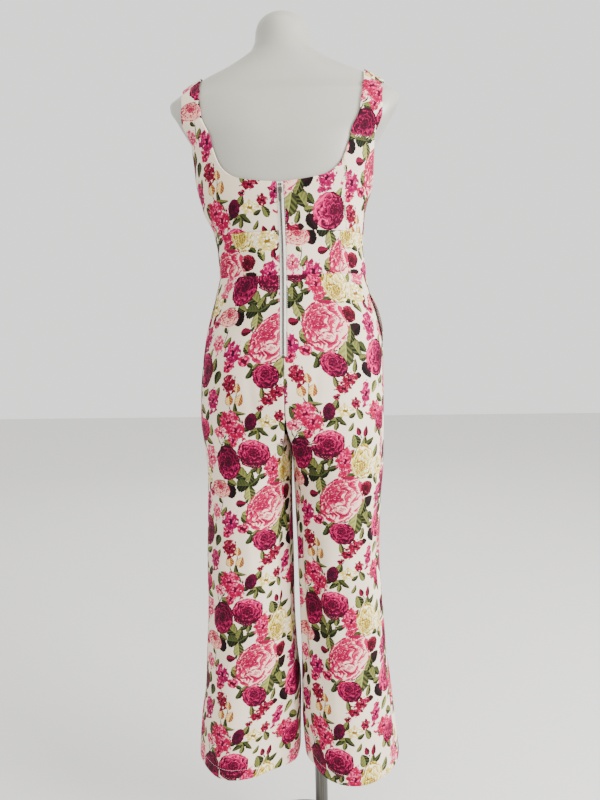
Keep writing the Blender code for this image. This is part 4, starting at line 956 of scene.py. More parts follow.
def flower_ink(cotton, layer, under):
    """Paints the large flowers. Petals are rings: the whole part of 4.2 r + 0.46 |sin(3.5
    angle + 5 r)| counts them, and within each the fraction runs from a dark foot to a
    light rim, streaked by noise drawn out along a bent radius. The heart is dark."""
    _, along, over, shade, kind, inks = motif(cotton, layer, FLOWER_INKS)
    seeded = add(cotton, "CombineXYZ", along, over, add(cotton, "Math.MULTIPLY", kind, 3.7))
    uneven = add(cotton, "TexNoise", seeded, None, 1.9, 2.0, 0.55)
    flat = add(cotton, "CombineXYZ", along, over, 0.0)
    length = add(cotton, "VectorMath.LENGTH", flat, out=1)
    r = add(cotton, "Math.ADD", add(cotton, "Math.MULTIPLY_ADD", uneven, 0.34, -0.17), length)
    angle = add(cotton, "Math.ARCTAN2", over, along)
    swirl = add(cotton, "Math.MULTIPLY_ADD", r, TWIST, add(cotton, "Math.MULTIPLY", kind, 1.3))
    swirl = add(cotton, "Math.MULTIPLY_ADD", angle, LOBES, swirl)
    lobes = add(cotton, "Math.ABSOLUTE", add(cotton, "Math.SINE", swirl))
    rings = add(cotton, "Math.MULTIPLY_ADD", r, PETAL_RINGS, add(cotton, "Math.MULTIPLY", lobes, RING_WAVE))
    share = add(cotton, "Math.FRACT", rings)
    bend = add(cotton, "VectorMath.SUBTRACT", uneven.node.outputs[1], (0.5, 0.5, 0.5))
    bend = add(cotton, "VectorMath.MULTIPLY", bend, (1.5, 1.5, 0.0))
    way = add(cotton, "VectorMath.ADD", flat, bend)
    way = add(cotton, "VectorMath.NORMALIZE", way)
    way = add(cotton, "VectorMath.MULTIPLY", way, (STREAKS, STREAKS, 0.0))
    sweep = add(cotton, "CombineXYZ", 0.0, 0.0, add(cotton, "Math.MULTIPLY", rings, 1.1))
    way = add(cotton, "VectorMath.ADD", way, sweep)
    streak = add(cotton, "TexNoise", way, None, 1.0, 2.0, 0.6)
    tone = add(cotton, "Math.MULTIPLY_ADD", share, 0.50, -0.86)
    tone = add(cotton, "Math.MULTIPLY_ADD", streak, 2.0, tone)
    tone = add(cotton, "Math.ADD", add(cotton, "Math.MULTIPLY_ADD", shade, 0.42, -0.42), tone)
    heart = add(cotton, "MapRange", length, 0.10, 0.38, 0.30, 0.0)
    tone = add(cotton, "Math.SUBTRACT", tone, heart)
    frill = add(cotton, "TexNoise", seeded, None, 5.5, 1.0, 0.5)
    edge = add(cotton, "Math.ADD", add(cotton, "Math.MULTIPLY_ADD", frill, 0.30, length), r)
    mask = add(cotton, "Math.LESS_THAN", edge, FLOWER_EDGE)
    return inked(cotton, tone, inks, FLOWER_STEPS, mask, under)


WEAVE_MM = 0.9      # real thread spacing is 0.35 mm; drawn coarser so that it can be seen


def woven(cloth, surface, spacing, depth):
    """Plain weave as bump: the product of a sine across and a sine along."""
    thread = add(cloth, "UVMap", uv_map="cloth")
    thread = add(cloth, "VectorMath.MULTIPLY", thread, [2000 * math.pi / spacing] * 3)
    warp, weft, _ = add(cloth, "SeparateXYZ", thread).node.outputs
    warp, weft = (add(cloth, "Math.SINE", t) for t in (warp, weft))
    height = add(cloth, "Math.MULTIPLY", warp, weft)
    feed(cloth, add(cloth, "Bump", 0.35, depth, 0.1, height), surface, "Normal")


# The face of the cotton: matt ink on white sateen, with a faint sheen at grazing light.
cotton, surface = finish("printed_cotton", Roughness=0.74, Specular_IOR_Level=0.10, Sheen_Weight=0.01,
                         Sheen_Roughness=0.5)
cloud = add(cotton, "TexNoise", add(cotton, "TexCoord", out=3), None, 14.0, 2.0, 0.5)
colour = add(cotton, "ValToRGB", cloud, stops=[(0.3, "#D8C8B1"), (0.7, GROUND)])
colour = leaf_ink(cotton, "leaf_low", colour)
colour = leaf_ink(cotton, "leaf_high", colour)
colour = spray_ink(cotton, "spray", colour)
colour = flower_ink(cotton, "flower", colour)
feed(cotton, colour, surface, "Base Color")
woven(cotton, surface, WEAVE_MM, 0.00012)

# Its wrong side, where the inks only show through as a pale ghost.
wrong_side, surface = finish("cotton_wrong_side", Roughness=0.85)
mottled(wrong_side, surface, "#E4E0D8", "#DDC6C4", 26.0, 3.0, 0.6, (0.42, 0.60))
woven(wrong_side, surface, WEAVE_MM, 0.00012)


# ---------------------------------------------------------------------------------
# Cut panels. Each is one layer of cotton between its seams, turned in at every edge,
# so that it dips to the stitching. Its size before sewing is that of its own grid.
# ---------------------------------------------------------------------------------
FINE = 0.0040
EDGE_LINES = np.array([0.0, 0.0012, 0.0030])
SEAM_DIP = np.array([0.0008, 0.0003, 0.0])
HEM_DEPTH, HEM_EXTRA = 0.025, 0.0009        # the turned hem is thicker inside


def spread(length, fine=FINE):
    """Distances along a length: two lines near each end and even steps between."""
    steps = max(2, int(round((length - 2 * EDGE_LINES[2]) / fine)))
    middle = np.linspace(EDGE_LINES[2], length - EDGE_LINES[2], steps + 1)
    return np.concatenate([EDGE_LINES[:2], middle, length - EDGE_LINES[1::-1]])


def run_of(points):
    """Running length along the last grid direction."""
    steps = np.linalg.norm(np.diff(points, axis=-2), axis=-1)
    return np.concatenate([np.zeros(steps.shape[:-1] + (1,)), np.cumsum(steps, axis=-1)], axis=-1)


def even_edges(surface, start, end, fine=FINE):
    """Both edges, given level by level, redrawn as smooth lines whose rows lie fine
    apart along the panel's middle."""
    rows = {"level": np.arange(len(start), dtype=float)}
    for name, edge in (("start", start), ("end", end)):
        rows[name + "_p"], rows[name + "_z"] = np.array(edge, dtype=float).T
    dense = np.linspace(0.0, len(start) - 1.0, 1200)
    lines = [smooth(rows, name, dense, key="level") for name in ("start_p", "start_z", "end_p", "end_z")]
    run = run_of(surface((lines[0] + lines[2]) / 2, (lines[1] + lines[3]) / 2))
    want = np.interp(spread(run[-1], fine), run, dense)
    lines = [smooth(rows, name, want, key="level") for name in ("start_p", "start_z", "end_p", "end_z")]
    return np.stack(lines[:2], axis=1), np.stack(lines[2:], axis=1)


def grid_between(surface, start, end, fine=FINE):
    """Places of a grid whose rows run from start to end: near-edge lines, then equal
    lengths of cloth."""
    share = np.linspace(0.0, 1.0, 181)
    p = start[:, :1] + (end[:, :1] - start[:, :1]) * share
    z = start[:, 1:] + (end[:, 1:] - start[:, 1:]) * share
    run = run_of(surface(p, z))
    middle = np.linspace(0.0, 1.0, len(spread(run[:, -1].max(), fine)) - 4)
    length = run[:, -1:]
    first = np.broadcast_to(EDGE_LINES[:2], (len(run), 2))
    middle = EDGE_LINES[2] + (length - 2 * EDGE_LINES[2]) * middle
    want = np.concatenate([first, middle, length - first[:, ::-1]], axis=1)
    part = np.stack([np.interp(w, r, share) for w, r in zip(want, run)])
    return tuple(start[:, k:k + 1] + (end[:, k:k + 1] - start[:, k:k + 1]) * part for k in (0, 1))


INSIDE = np.array([0.45, 0.0, 1.0])     # from a panel's middle to a point in the form or leg


def outward(surface, p, z):
    """Outside points of a grid and their outward normals."""
    middle, way = surface(p, z), normals(surface, p, z)
    centre = middle.mean(axis=(0, 1)) * INSIDE
    return middle, way * np.sign(np.sum((way * (middle - centre)).sum(axis=(0, 1))))


def dips(rows, columns):
    """How far each grid point is drawn in: most at the edges, nothing 3 mm from them."""
    up, along = np.zeros(rows), np.zeros(columns)
    for line in (up, along):
        line[:3], line[-3:] = SEAM_DIP, SEAM_DIP[::-1]
    return np.maximum(up[:, None], along[None, :])


def across(surface, p, z, start):
    """Length along the cloth at one height from the place start to p: 32 short steps."""
    share = np.linspace(0.0, 1.0, 33)[:, None, None]
    points = surface(start + (p - start) * share, z + 0 * share)
    return np.sign(p - start) * np.linalg.norm(np.diff(points, axis=0), axis=-1).sum(axis=0)


STRAP_TURN, STRAP_FOOT = 45.0, 0.0900      # the line's turn in degrees, and its lowest height
strap_line = np.linspace(STRAP_FOOT, SHOULDER_TOP, 700)
strap_run = run_of(torso(np.full(700, STRAP_TURN), np.maximum(strap_line, WAIST_SEAM)))


def up_cloth(z):
    """Length of cloth below a height: the height itself on the trousers and band, and
    above them the length of a line up the torso at the strap's turn."""
    return np.where(z < WAIST_SEAM, z, WAIST_SEAM + np.interp(z, strap_line, strap_run))


def facing(quads, points, way):
    """Turns a grid's faces so that they look outwards."""
    a, b, d = points.reshape(-1, 3)[quads[len(quads) // 2][[0, 1, 3]]]
    out = np.dot(np.cross(b - a, d - a), way.reshape(-1, 3)[quads[len(quads) // 2][0]])
    return quads if out > 0 else quads[:, ::-1]


def size_of(points):
    """Width and length of the flat piece: its longest row and its longest column."""
    return float(run_of(points)[:, -1].max()), float(run_of(points.transpose(1, 0, 2))[:, -1].max())


def cut_panel(name, node, outer, inner, quads, u, v, held, size=None, rests_on="dress_form",
              materials=(cotton, wrong_side), slot="print_cotton"):
    """Makes a panel of both skins and a strip along every free edge, and writes the
    chart's places on its corners. u and v are metres of cloth across and up. A panel of
    one grid is measured for its size."""
    size = size or size_of(outer)
    used, quads = np.unique(quads, return_inverse=True)
    quads = quads.reshape(-1, 4)
    outer, inner = (skin.reshape(-1, 3)[used] for skin in (outer, inner))
    u, v = (line.ravel()[used] for line in (u, v))
    count = len(outer)
    a, b, c, d = outer[quads].transpose(1, 0, 2)
    edges = np.stack([quads, np.roll(quads, -1, axis=1)], axis=-1).reshape(-1, 2)
    free = edges[~np.isin(edges[:, 0] * count + edges[:, 1], edges[:, 1] * count + edges[:, 0])]
    rim = np.stack([free[:, 1], free[:, 0], free[:, 0] + count, free[:, 1] + count], axis=1)
    faces = np.concatenate([quads, rim, quads[:, ::-1] + count])
    made = shell(name, np.concatenate([outer, inner]), faces, sharp=60)
    mesh = settle(made, slot, materials, *node.split()).data
    slots = np.zeros(len(faces), dtype=np.int32)
    slots[len(quads) + len(rim):] = len(materials) - 1
    mesh.polygons.foreach_set("material_index", slots)
    corners = faces % count
    thread = mesh.uv_layers.new(name="cloth")
    thread.uv.foreach_set("vector", np.stack([u[corners], v[corners]], axis=-1).astype(np.float32).ravel())
    if materials[0] is cotton:
        face = corners[: len(quads) + len(rim)]
        cm_u, cm_v = 100 * u[face], 100 * v[face]
        low = {key: column[0::2] for key, column in LEAVES.items()}
        high = {key: column[1::2] for key, column in LEAVES.items()}
        layers = {
            "leaf_low": charted(low, cm_u, cm_v),
            "leaf_high": charted(high, cm_u, cm_v),
            "spray": charted(SPRAYS, cm_u, cm_v, in_blooms, even=True),
            "flower": charted(FLOWERS, cm_u, cm_v, round_heart, even=True),
        }
        for layer, values in layers.items():
            full = np.zeros((len(faces), 4, 3), dtype=np.float32)
            full[: len(face)] = values
            written = mesh.attributes.new(layer, "FLOAT_VECTOR", "CORNER")
            written.data.foreach_set("vector", full.ravel())


# Where each panel was laid on the print: across and up, in metres, and how the grain
# leans and curves: metres across for each metre up from 0.6, and for its square.
LAID = {
    "back_bodice_L": (0.0615, -0.0820, 0.0, 0.0),
    "back_bodice_R": (0.0080, 0.0160, 0.0, 0.0),
    "front_bodice": (0.0500, 0.0200, 0.0, 0.0),
    "midriff_back_L": (0.1150, -0.1380, 0.0, 0.0),
    "midriff_back_R": (0.1130, 0.1550, 0.0, 0.0),
    "midriff_front": (0.1100, 0.0700, 0.0, 0.0),
    "trouser_back_L": (-0.0465, -0.0220, -0.085, -0.004),
    "trouser_back_R": (-0.0132, -0.0390, 0.031, 0.109),
    "trouser_front_L": (0.0200, 0.1100, 0.0, 0.0),
    "trouser_front_R": (0.1400, 0.0500, 0.0, 0.0),
}


# Side-back seams on the wearer's right: place across, and how far the print of the
# piece beyond it is out of step, across and up, in metres.
SIDE_BACK = {"back_bodice_R": (0.1080, 0.0300, -0.0170), "midriff_back_R": (0.0950, 0.0450, 0.0250)}
SEAM_TOP = 1.330        # the seam runs up to here, where the strap begins
SEAM_WIDE, SEAM_DEEP = 0.55, 0.0007     # degrees, metres


def side_back(name, p, z):
    """The groove of the side-back seam, and the step of the print beyond it."""
    if name not in SIDE_BACK:
        return 0.0 * p, 0.0 * p, 0.0 * p
    line, step_u, step_v = SIDE_BACK[name]
    beyond = turn_of(line, z) - p
    held = ramp(SEAM_TOP - z, 0.0, 0.020)
    groove = SEAM_DEEP * held * np.exp(-((beyond / SEAM_WIDE) ** 2) / 2)
    past = (beyond > 0) * (z < SEAM_TOP)
    return groove, step_u * past, step_v * past


def print_places(name, surface, p, z, start, sign, taken=0.0):
    """Where each grid point falls on the print, in metres across and up. taken is the
    cloth that a dart has folded away before the point."""
    move_u, move_v, lean, curve = LAID[name]
    v = up_cloth(z)
    u = across(surface, p, z, start) + taken
    return sign * u + (lean + curve * (v - 0.6)) * (v - 0.6) + move_u, v + move_v


def skins(name, surface, p, z, rows, turn, start, sign, dart=0.0, taken=0.0, turned=0.0):
    """Outside and inside of a panel on a grid of places, its faces and its places on the
    print. The surface goes out by the creases and in by the dips, seam groove and dart,
    and the inside lies the cloth's thickness and what is turned up under it."""
    middle, way = outward(surface, p, z)
    groove, step_u, step_v = side_back(name, p, z)
    out = creases(rows, turn, z) - dips(*p.shape) - groove - dart
    under = out - CLOTH - turned
    u, v = print_places(name, surface, p, z, start, sign, taken)
    quads = facing(cells(*p.shape), middle, way)
    return middle + way * out[..., None], middle + way * under[..., None], quads, u + step_u, v + step_v


# ---------------------------------------------------------------------------------
# Bodice: two back panels beside the zip and one front panel, with the straps cut in
# one with them and seamed on the shoulders. Neckline and armholes are faced inside.
# ---------------------------------------------------------------------------------
BODICE_BACK = table(
    "in_x    in_z    out_deg  out_z",
    (0.0000, 1.1710, 0.0, 1.1710),
    (0.0000, 1.1950, 0.0, 1.1980),
    (0.0000, 1.2230, 0.0, 1.2280),
    (0.0000, 1.2517, 0.0, 1.2540),
    (0.0260, 1.2535, 8.5, 1.2640),
    (0.0520, 1.2570, 11.5, 1.2800),
    (0.0780, 1.2628, 14.0, 1.2970),
    (0.0950, 1.2735, 17.0, 1.3120),
    (0.1065, 1.2870, 21.0, 1.3280),
    (0.1145, 1.3060, 26.0, 1.3430),
    (0.1215, 1.3280, 32.0, 1.3600),
    (0.1315, 1.3550, 36.0, 1.3780),
    (0.1405, 1.3840, 37.5, 1.3970),
)
BODICE_FRONT = table(
    "in_x    in_z    out_deg  out_z",
    (0.0000, 1.1710, 0.0, 1.1710),
    (0.0000, 1.2020, 0.0, 1.1980),
    (0.0000, 1.2360, 0.0, 1.2280),
    (0.0000, 1.2680, 0.0, 1.2540),
    (0.0000, 1.3020, 10.0, 1.2660),
    (0.0420, 1.3030, 17.0, 1.2830),
    (0.0760, 1.3060, 24.0, 1.3010),
    (0.0970, 1.3140, 30.5, 1.3190),
    (0.1080, 1.3280, 34.0, 1.3370),
    (0.1180, 1.3470, 36.5, 1.3570),
    (0.1290, 1.3720, 38.0, 1.3770),
    (0.1395, 1.3960, 38.0, 1.3960),
)
STRAP = table(
    "in_turn  in_x    out_turn  out_x",
    (51.0, 0.1450, 36.0, 0.1785),
    (43.0, 0.1470, 28.5, 0.1800),
    (32.0, 0.1470, 19.5, 0.1820),
    (21.0, 0.1475, 12.0, 0.1835),
    (11.0, 0.1482, 6.0, 0.1845),
    (4.0, 0.1485, 2.2, 0.1850),
    (0.06, 0.1485, 0.06, 0.1850),
)
NECK_LEVEL = 4          # level at which the front neckline leaves the middle
SIDE_INSET = 0.06       # degrees of turn that leave half a gap beside a side seam
FRONT_MIDDLE = -90.0 + 1e-4     # turn of the front's middle line, a hair to the wearer's left


def shoulder_height(x, turn):
    """Height at which the shoulder's slope, at this turn, is x from the middle."""
    heights = np.linspace(STUMP_HIGH, SHOULDER_TOP + 0.03, 500)
    width = full_width(heights) * np.cos(np.radians(turn)) ** (2 / smooth(FORM, "square", heights))
    return float(np.interp(-x, -width, heights))


def bodice_edges(rows, back):
    """Inner and outer edge of a bodice half, from the midriff seam to the shoulder."""
    inner, outer = [], []
    sign = 1 if back else -1
    for in_x, in_z, out_deg, out_z in zip(*rows.values()):
        inner.append((float(turn_of(max(in_x, ZIP_HALF if back else 0.0), in_z, back)), in_z))
        seam = float(smooth(SIDE_SEAM, "left", out_z))
        outer.append((seam + SIDE_INSET * sign if out_deg == 0 else sign * out_deg, out_z))
    for in_turn, in_x, out_turn, out_x in zip(*STRAP.values()):
        inner.append((sign * in_turn, shoulder_height(in_x, in_turn)))
        outer.append((sign * out_turn, shoulder_height(out_x, out_turn)))
    inner[0], outer[0] = ((p, MIDRIFF_SEAM + LEVEL_GAP) for p, _ in (inner[0], outer[0]))
    return inner, outer


def mirrored(surface, right):
    """The surface with its turn counted from the wearer's right when right is set."""
    return (lambda p, z: surface(180.0 - p, z)) if right else surface


def bodice_half(name, rows, back, side):
    """What skins gives for one half, and its turns."""
    half = mirrored(torso, side == "R")
    start, end = bodice_edges(rows, back)
    if not back:
        start = [(FRONT_MIDDLE, z) if k <= NECK_LEVEL else (p, z) for k, (p, z) in enumerate(start)]
    p, z = grid_between(half, *even_edges(half, start, end))
    made = skins(name, half, p, z, BODICE_CREASES, 180.0 - p if side == "R" else p,
                 90.0 if back else -90.0, 1 if side == "L" else -1)
    return *made, p


for side in "LR":
    name = "back_bodice_" + side
    cut_panel("cotton_" + name, name, *bodice_half(name, BODICE_BACK, True, side)[:5], "stretched")

parts = [bodice_half("front_bodice", BODICE_FRONT, False, side) for side in "LR"]
first, columns = parts[0][0].shape[0] * parts[0][0].shape[1], parts[0][0].shape[1]
joined = np.nonzero(np.isclose(parts[0][5][:, 0], FRONT_MIDDLE, atol=1e-6))[0]
places = np.arange(2 * first)
places[first + joined * columns] = joined * columns
outer, inner = (np.concatenate([part[k].reshape(-1, 3) for part in parts]) for k in (0, 1))
for skin in (outer, inner):
    skin[joined * columns, 0] = 0.0
u, v = (np.concatenate([part[k].ravel() for part in parts]) for k in (3, 4))
quads = places[np.concatenate([parts[0][2], parts[1][2] + first])]
width, length = size_of(parts[0][0])
size = (2 * width, length)
cut_panel("cotton_front_bodice", "front_bodice", outer, inner, quads, u, v, "stretched", size)


# ---------------------------------------------------------------------------------
# Midriff band: a straight strip round the waist in three pieces, seamed to the bodice
# above and the trousers below.
# ---------------------------------------------------------------------------------
BAND_LEVELS = np.linspace(WAIST_SEAM + LEVEL_GAP, MIDRIFF_SEAM - LEVEL_GAP, 5)


def band_piece(name, surface, start, end, reference, sign, right):
    """One piece of the band between two edges."""
    p, z = grid_between(surface, *even_edges(surface, start, end))
    turn = 180.0 - p if right else p
    made = skins(name, surface, p, z, BODICE_CREASES, turn, reference, sign)
    cut_panel("cotton_" + name, name, *made, "stretched")


for side in "LR":
    column = "left" if side == "L" else "right"
    start = [(float(turn_of(ZIP_HALF, z)), z) for z in BAND_LEVELS]
    end = [(float(smooth(SIDE_SEAM, column, z)) + SIDE_INSET, z) for z in BAND_LEVELS]
    band_piece("midriff_back_" + side, mirrored(torso, side == "R"), start, end, 90.0,
               1 if side == "L" else -1, side == "R")
start = [(float(smooth(SIDE_SEAM, "left", z)) - SIDE_INSET, z) for z in BAND_LEVELS]
end = [(-180.0 - float(smooth(SIDE_SEAM, "right", z)) + SIDE_INSET, z) for z in BAND_LEVELS]
band_piece("midriff_front", torso, start, end, -90.0, 1, False)


# ---------------------------------------------------------------------------------
# Trousers: two backs and two fronts, joined down the sides, the inside legs and the
# middle. A pocket is let into each side seam, and the hem is turned up inside.
# ---------------------------------------------------------------------------------
EDGE_INSET = 0.09       # degrees of turn that leave half a gap beside a leg seam
# Darts at the back of the waist: place across at the seam and at the tip, in metres.
DARTS = {"L": (0.1010, 0.1000), "R": (0.1050, 0.1120)}
DART_LENGTH, DART_TAKE, DART_DIP, DART_WIDE = 0.0850, 0.0180, 0.0009, 0.60


def dart_at(p, z, side):
    """How far a place lies beyond the dart's line, in degrees of turn, and how open the
    dart is there: 1 at the waist seam and 0 at its tip."""
    share = np.clip((WAIST_SEAM - z) / DART_LENGTH, 0.0, 1.0)
    seam, tip = DARTS[side]
    line = leg_turn(turn_of(seam + (tip - seam) * share, z))
    return p - line, 1.0 - share


def trouser_places(side, before):
    """Rows of a trouser panel, from the waist seam to the hem."""
    z = WAIST_SEAM - LEVEL_GAP - spread(WAIST_SEAM - LEVEL_GAP - HEM)
    seam = side_seam(z, side)
    if before:
        inner = np.minimum(centre_start(z, before=True), 360.0 - EDGE_INSET)
        return np.stack([seam + EDGE_INSET, z], axis=1), np.stack([inner, z], axis=1)
    beside_zip = leg_turn(turn_of(ZIP_HALF, z))
    inner = np.where(z > ZIP_END, beside_zip, np.maximum(centre_start(z), EDGE_INSET))
    return np.stack([inner, z], axis=1), np.stack([seam - EDGE_INSET, z], axis=1)


for side in "LR":
    for before in (False, True):
        name = "trouser_" + ("front_" if before else "back_") + side
        surface = lambda p, z, side=side: leg(p, z, side)
        start, end = trouser_places(side, before)
        p, z = grid_between(surface, start, end)
        beyond, open_share = dart_at(p, z, side) if not before else (0.0 * p, 0.0 * p)
        dart = DART_DIP * open_share**0.5 * np.exp(-((beyond / DART_WIDE) ** 2) / 2)
        taken = DART_TAKE * open_share * (beyond > 0)
        turned = HEM_EXTRA * ramp(HEM + HEM_DEPTH - z, -0.0005, 0.0005)
        made = skins(name, surface, p, z, CREASES[side], p, 270.0 if before else 90.0,
                     -1 if side == "L" else 1, dart, taken, turned)
        cut_panel("cotton_" + name, name, *made, "hung")


# ---------------------------------------------------------------------------------
# Pocket bags: plain lining cotton, sewn to both edges of the opening in the side seam
# and hanging flat inside the trousers.
# ---------------------------------------------------------------------------------
BAG_DEEP = CLOTH + 0.0013       # outside of the bag under the outside of the trousers
BAG_BEFORE, BAG_BEYOND = 3.0, 15.0

# Bleached lining cotton: matt and plain, its weave closer than the printed cloth's.
lining, surface = finish("bleached_lining_cotton", Roughness=0.85, Specular_IOR_Level=0.15)
mottled(lining, surface, "#CFCABF", "#DDD9CF", 30.0)
woven(lining, surface, 0.7, 0.00010)

for side in "LR":
    surface = lambda p, z, side=side: leg(p, z, side, proud=False)
    z = np.linspace(MOUTH_LOW - 0.020, MOUTH_HIGH + 0.010, 41)[::-1]
    p = side_seam(z, side)[:, None] + np.linspace(-BAG_BEFORE, BAG_BEYOND, 19)
    z = np.broadcast_to(z[:, None], p.shape)
    middle, way = outward(surface, p, z)
    outer, inner = middle - way * BAG_DEEP, middle - way * (BAG_DEEP + BAG_CLOTH)
    quads = facing(cells(*p.shape), middle, way)
    cut_panel("lining_bag_" + side, "pocket_bag_" + side, outer, inner, quads,
              across(surface, p, z, 90.0), z, "hung", None, "cotton_trouser_front_" + side, (lining,),
              "pocket_lining")


# ---------------------------------------------------------------------------------
# Zip: an exposed metal one, sewn behind the folded edges of its opening. Two white
# woven tapes, stamped teeth clamped over their corded edges, and a die-cast slider
# with its pull hanging, parked at the top.
# ---------------------------------------------------------------------------------
SLIDER_BOTTOM = 1.2315
TAPE_PLACES = np.array([
    TAPE_INNER, 0.0011, 0.0015, 0.0019, 0.0023, 0.0028, 0.0034, 0.0040, 0.0047, TAPE_HALF,
])
CORD_AT, CORD_HALF, CORD_RISE = 0.0015, 0.0005, 0.0004

# Woven polyester tape: matt white, ribbed finely by its close weft.
tape_cloth, surface = finish("woven_zip_tape", Roughness=0.8, Specular_IOR_Level=0.2)
mottled(tape_cloth, surface, "#D9D6CC", "#E8E6DD", 60.0)
woven(tape_cloth, surface, 0.8, 0.00012)

# Zinc alloy, die cast or stamped and plated a dull gunmetal grey: metallic, with worn
# lighter patches and a brushed unevenness in its shine.
gunmetal, surface = finish("plated_zinc_alloy", Metallic=1.0, Roughness=0.4)
worn = mottled(gunmetal, surface, "#47433E", "#78736C", 700.0, 3.0, 0.6)
feed(gunmetal, add(gunmetal, "MapRange", worn, 0.0, 1.0, 0.30, 0.50), surface, "Roughness")

tapes = []
for side in "LR":
    half = mirrored(torso, side == "R")
    z = np.linspace(ZIP_END + 0.0008, NECK_BACK - 0.0005, 90)[::-1, None] + 0.0 * TAPE_PLACES
    p = turn_of(TAPE_PLACES[None, :], z)
    middle, way = outward(half, p, z)
    cord = CORD_RISE * np.exp(-(((TAPE_PLACES - CORD_AT) / CORD_HALF) ** 2)) - 0.0002
    quads = facing(cells(*p.shape), middle, way) + len(tapes) * p.size
    tapes.append((middle + way * cord[None, :, None], middle - way * BAG_CLOTH, quads,
                  np.broadcast_to(TAPE_PLACES * (1 if side == "L" else -1), p.shape), z))
outer, inner, quads, u, v = (np.concatenate([tape[k].reshape(-1, *tape[k].shape[2:]) if k != 2 else tape[k]
                                            for tape in tapes]) for k in range(5))
cut_panel("woven_tapes", "zip_tape_L zip_tape_R", outer, inner, quads, u, v, "stretched",
          (2 * TAPE_HALF, size_of(tapes[0][0])[1]), materials=(tape_cloth,), slot="zip_tape")

# A tooth is a lofted bar of four sections, from its root on the cord to its hooked tip.
TOOTH = table(
    "across   tall     thick",
    (0.0023, 0.00040, 0.00075),
    (0.0010, 0.00044, 0.00080),
    (0.0000, 0.00052, 0.00080),
    (-0.0006, 0.00030, 0.00055),
)
TEETH_PITCH = 0.0022        # each row has one tooth in this length; the rows are half of it apart
TEETH_OUT = 0.0011          # middle of the teeth outside the tape


def repeated(points, quads, places):
    """One small shape copied to many places, as one array of points and one of faces."""
    moved = (points[None] + places[:, None]).reshape(-1, 3)
    return moved, (quads[None] + len(points) * np.arange(len(places))[:, None, None]).reshape(-1, 4)


corner = np.array([(-1, -1), (1, -1), (1, 1), (-1, 1)])
tooth = np.stack([
    np.broadcast_to(TOOTH["across"][:, None], (4, 4)),
    corner[None, :, 0] * TOOTH["thick"][:, None],
    corner[None, :, 1] * TOOTH["tall"][:, None],
], axis=-1).reshape(-1, 3)
tooth_faces = np.concatenate([cells(4, 4, wrap=True), [[3, 2, 1, 0], [12, 13, 14, 15]]])
for side in "LR":
    right = side == "R"
    z = np.arange(ZIP_END + 0.0064 + right * TEETH_PITCH / 2, SLIDER_BOTTOM - 0.0008, TEETH_PITCH)
    line = torso(np.full(len(z), 89.9), z)      # a little beside the middle
    places = np.stack([0 * z, line[:, 1] + TEETH_OUT, z], axis=1)
    shape = tooth * np.array([-1.0 if right else 1.0, 1.0, 1.0])
    a, b, c = shape[tooth_faces[:, :3]].transpose(1, 0, 2)
    outside = np.sum(np.cross(b - a, c - a) * (a - shape.mean(axis=0))) > 0
    points, faces = repeated(shape, tooth_faces if outside else tooth_faces[:, ::-1], places)
    teeth = shell("teeth_" + side, points, faces, sharp=30)
    settle(teeth, "zip_metal", [gunmetal], *(["zip_chain"] if right else []))

for node in ("zip_slider", "zip_pull", "zip_stop_top_L", "zip_stop_top_R", "zip_stop_bottom"):
    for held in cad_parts[node].material_slots:
        held.material = gunmetal


# ---------------------------------------------------------------------------------
# Stitching: off-white polyester thread by lockstitch machine, beside the zip and
# round both hems. Each stitch dives into the cloth at its two ends.
# ---------------------------------------------------------------------------------
THREAD = 0.00019            # half its width; real thread is 0.2 mm across, too fine to be seen
STITCH, STITCH_GAP = 0.0032, 0.0007
BESIDE_ZIP = 0.0018
HEM_ROW = 0.0220

# Spun polyester thread: soft, slightly glossy, with a fine twist.
thread, surface = finish("polyester_thread", Roughness=0.6, Specular_IOR_Level=0.3)
twist = mottled(thread, surface, "#C2BCB0", "#DAD5CA", 900.0)
feed(thread, add(thread, "Bump", 0.4, 0.00008, 0.1, twist), surface, "Normal")


def stitched(name, line, way):
    """Stitches along a line of points with its outward directions: five six-sided rings
    each, whose radius and height fall at both ends."""
    run = run_of(line)
    count = int(run[-1] / (STITCH + STITCH_GAP))
    at = (np.arange(count) + 0.5) * run[-1] / count
    along = lambda values, where: np.stack([np.interp(where, run, values[:, k]) for k in range(3)], axis=1)
    ahead = along(line, at + STITCH / 4) - along(line, at - STITCH / 4)
    ahead = ahead / np.linalg.norm(ahead, axis=1, keepdims=True)
    up = along(way, at)
    beside = np.cross(up, ahead)
    beside = beside / np.linalg.norm(beside, axis=1, keepdims=True)
    up = np.cross(ahead, beside)
    place = np.array([-0.5, -0.36, 0.0, 0.36, 0.5])[:, None]
    round_of = np.array([0.45, 0.95, 1.0, 0.95, 0.45])[:, None]
    height = np.array([-0.6, 0.2, 0.5, 0.2, -0.6])[:, None]
    a = np.arange(6) * np.pi / 3
    parts = np.stack([
        place * STITCH + 0 * a,
        THREAD * round_of * np.cos(a),
        THREAD * (round_of * np.sin(a) + height),
    ], axis=-1).reshape(-1, 3)
    axes = np.stack([ahead, beside, up], axis=1)
    points = along(line, at)[:, None] + np.einsum("pk,nkc->npc", parts, axes)
    first = len(parts) * np.arange(count)[:, None, None]
    faces = cells(len(place), len(a), wrap=True)[None] + first
    last = len(parts) - len(a)
    ends = np.stack([np.arange(len(a))[::-1], np.arange(last, len(parts))])
    ends = (ends[None] + first).reshape(-1, len(a))
    made = shell(name, points.reshape(-1, 3), faces.reshape(-1, 4), ends.tolist())
    settle(made, "zip_tape", [thread])


def on_cloth(surface, rows, p, z):
    """A line on the cloth's outside at the given places, and its outward directions."""
    middle, way = (part[0] for part in outward(surface, p[None], z[None]))
    return middle + way * creases(rows, p, z)[:, None], way


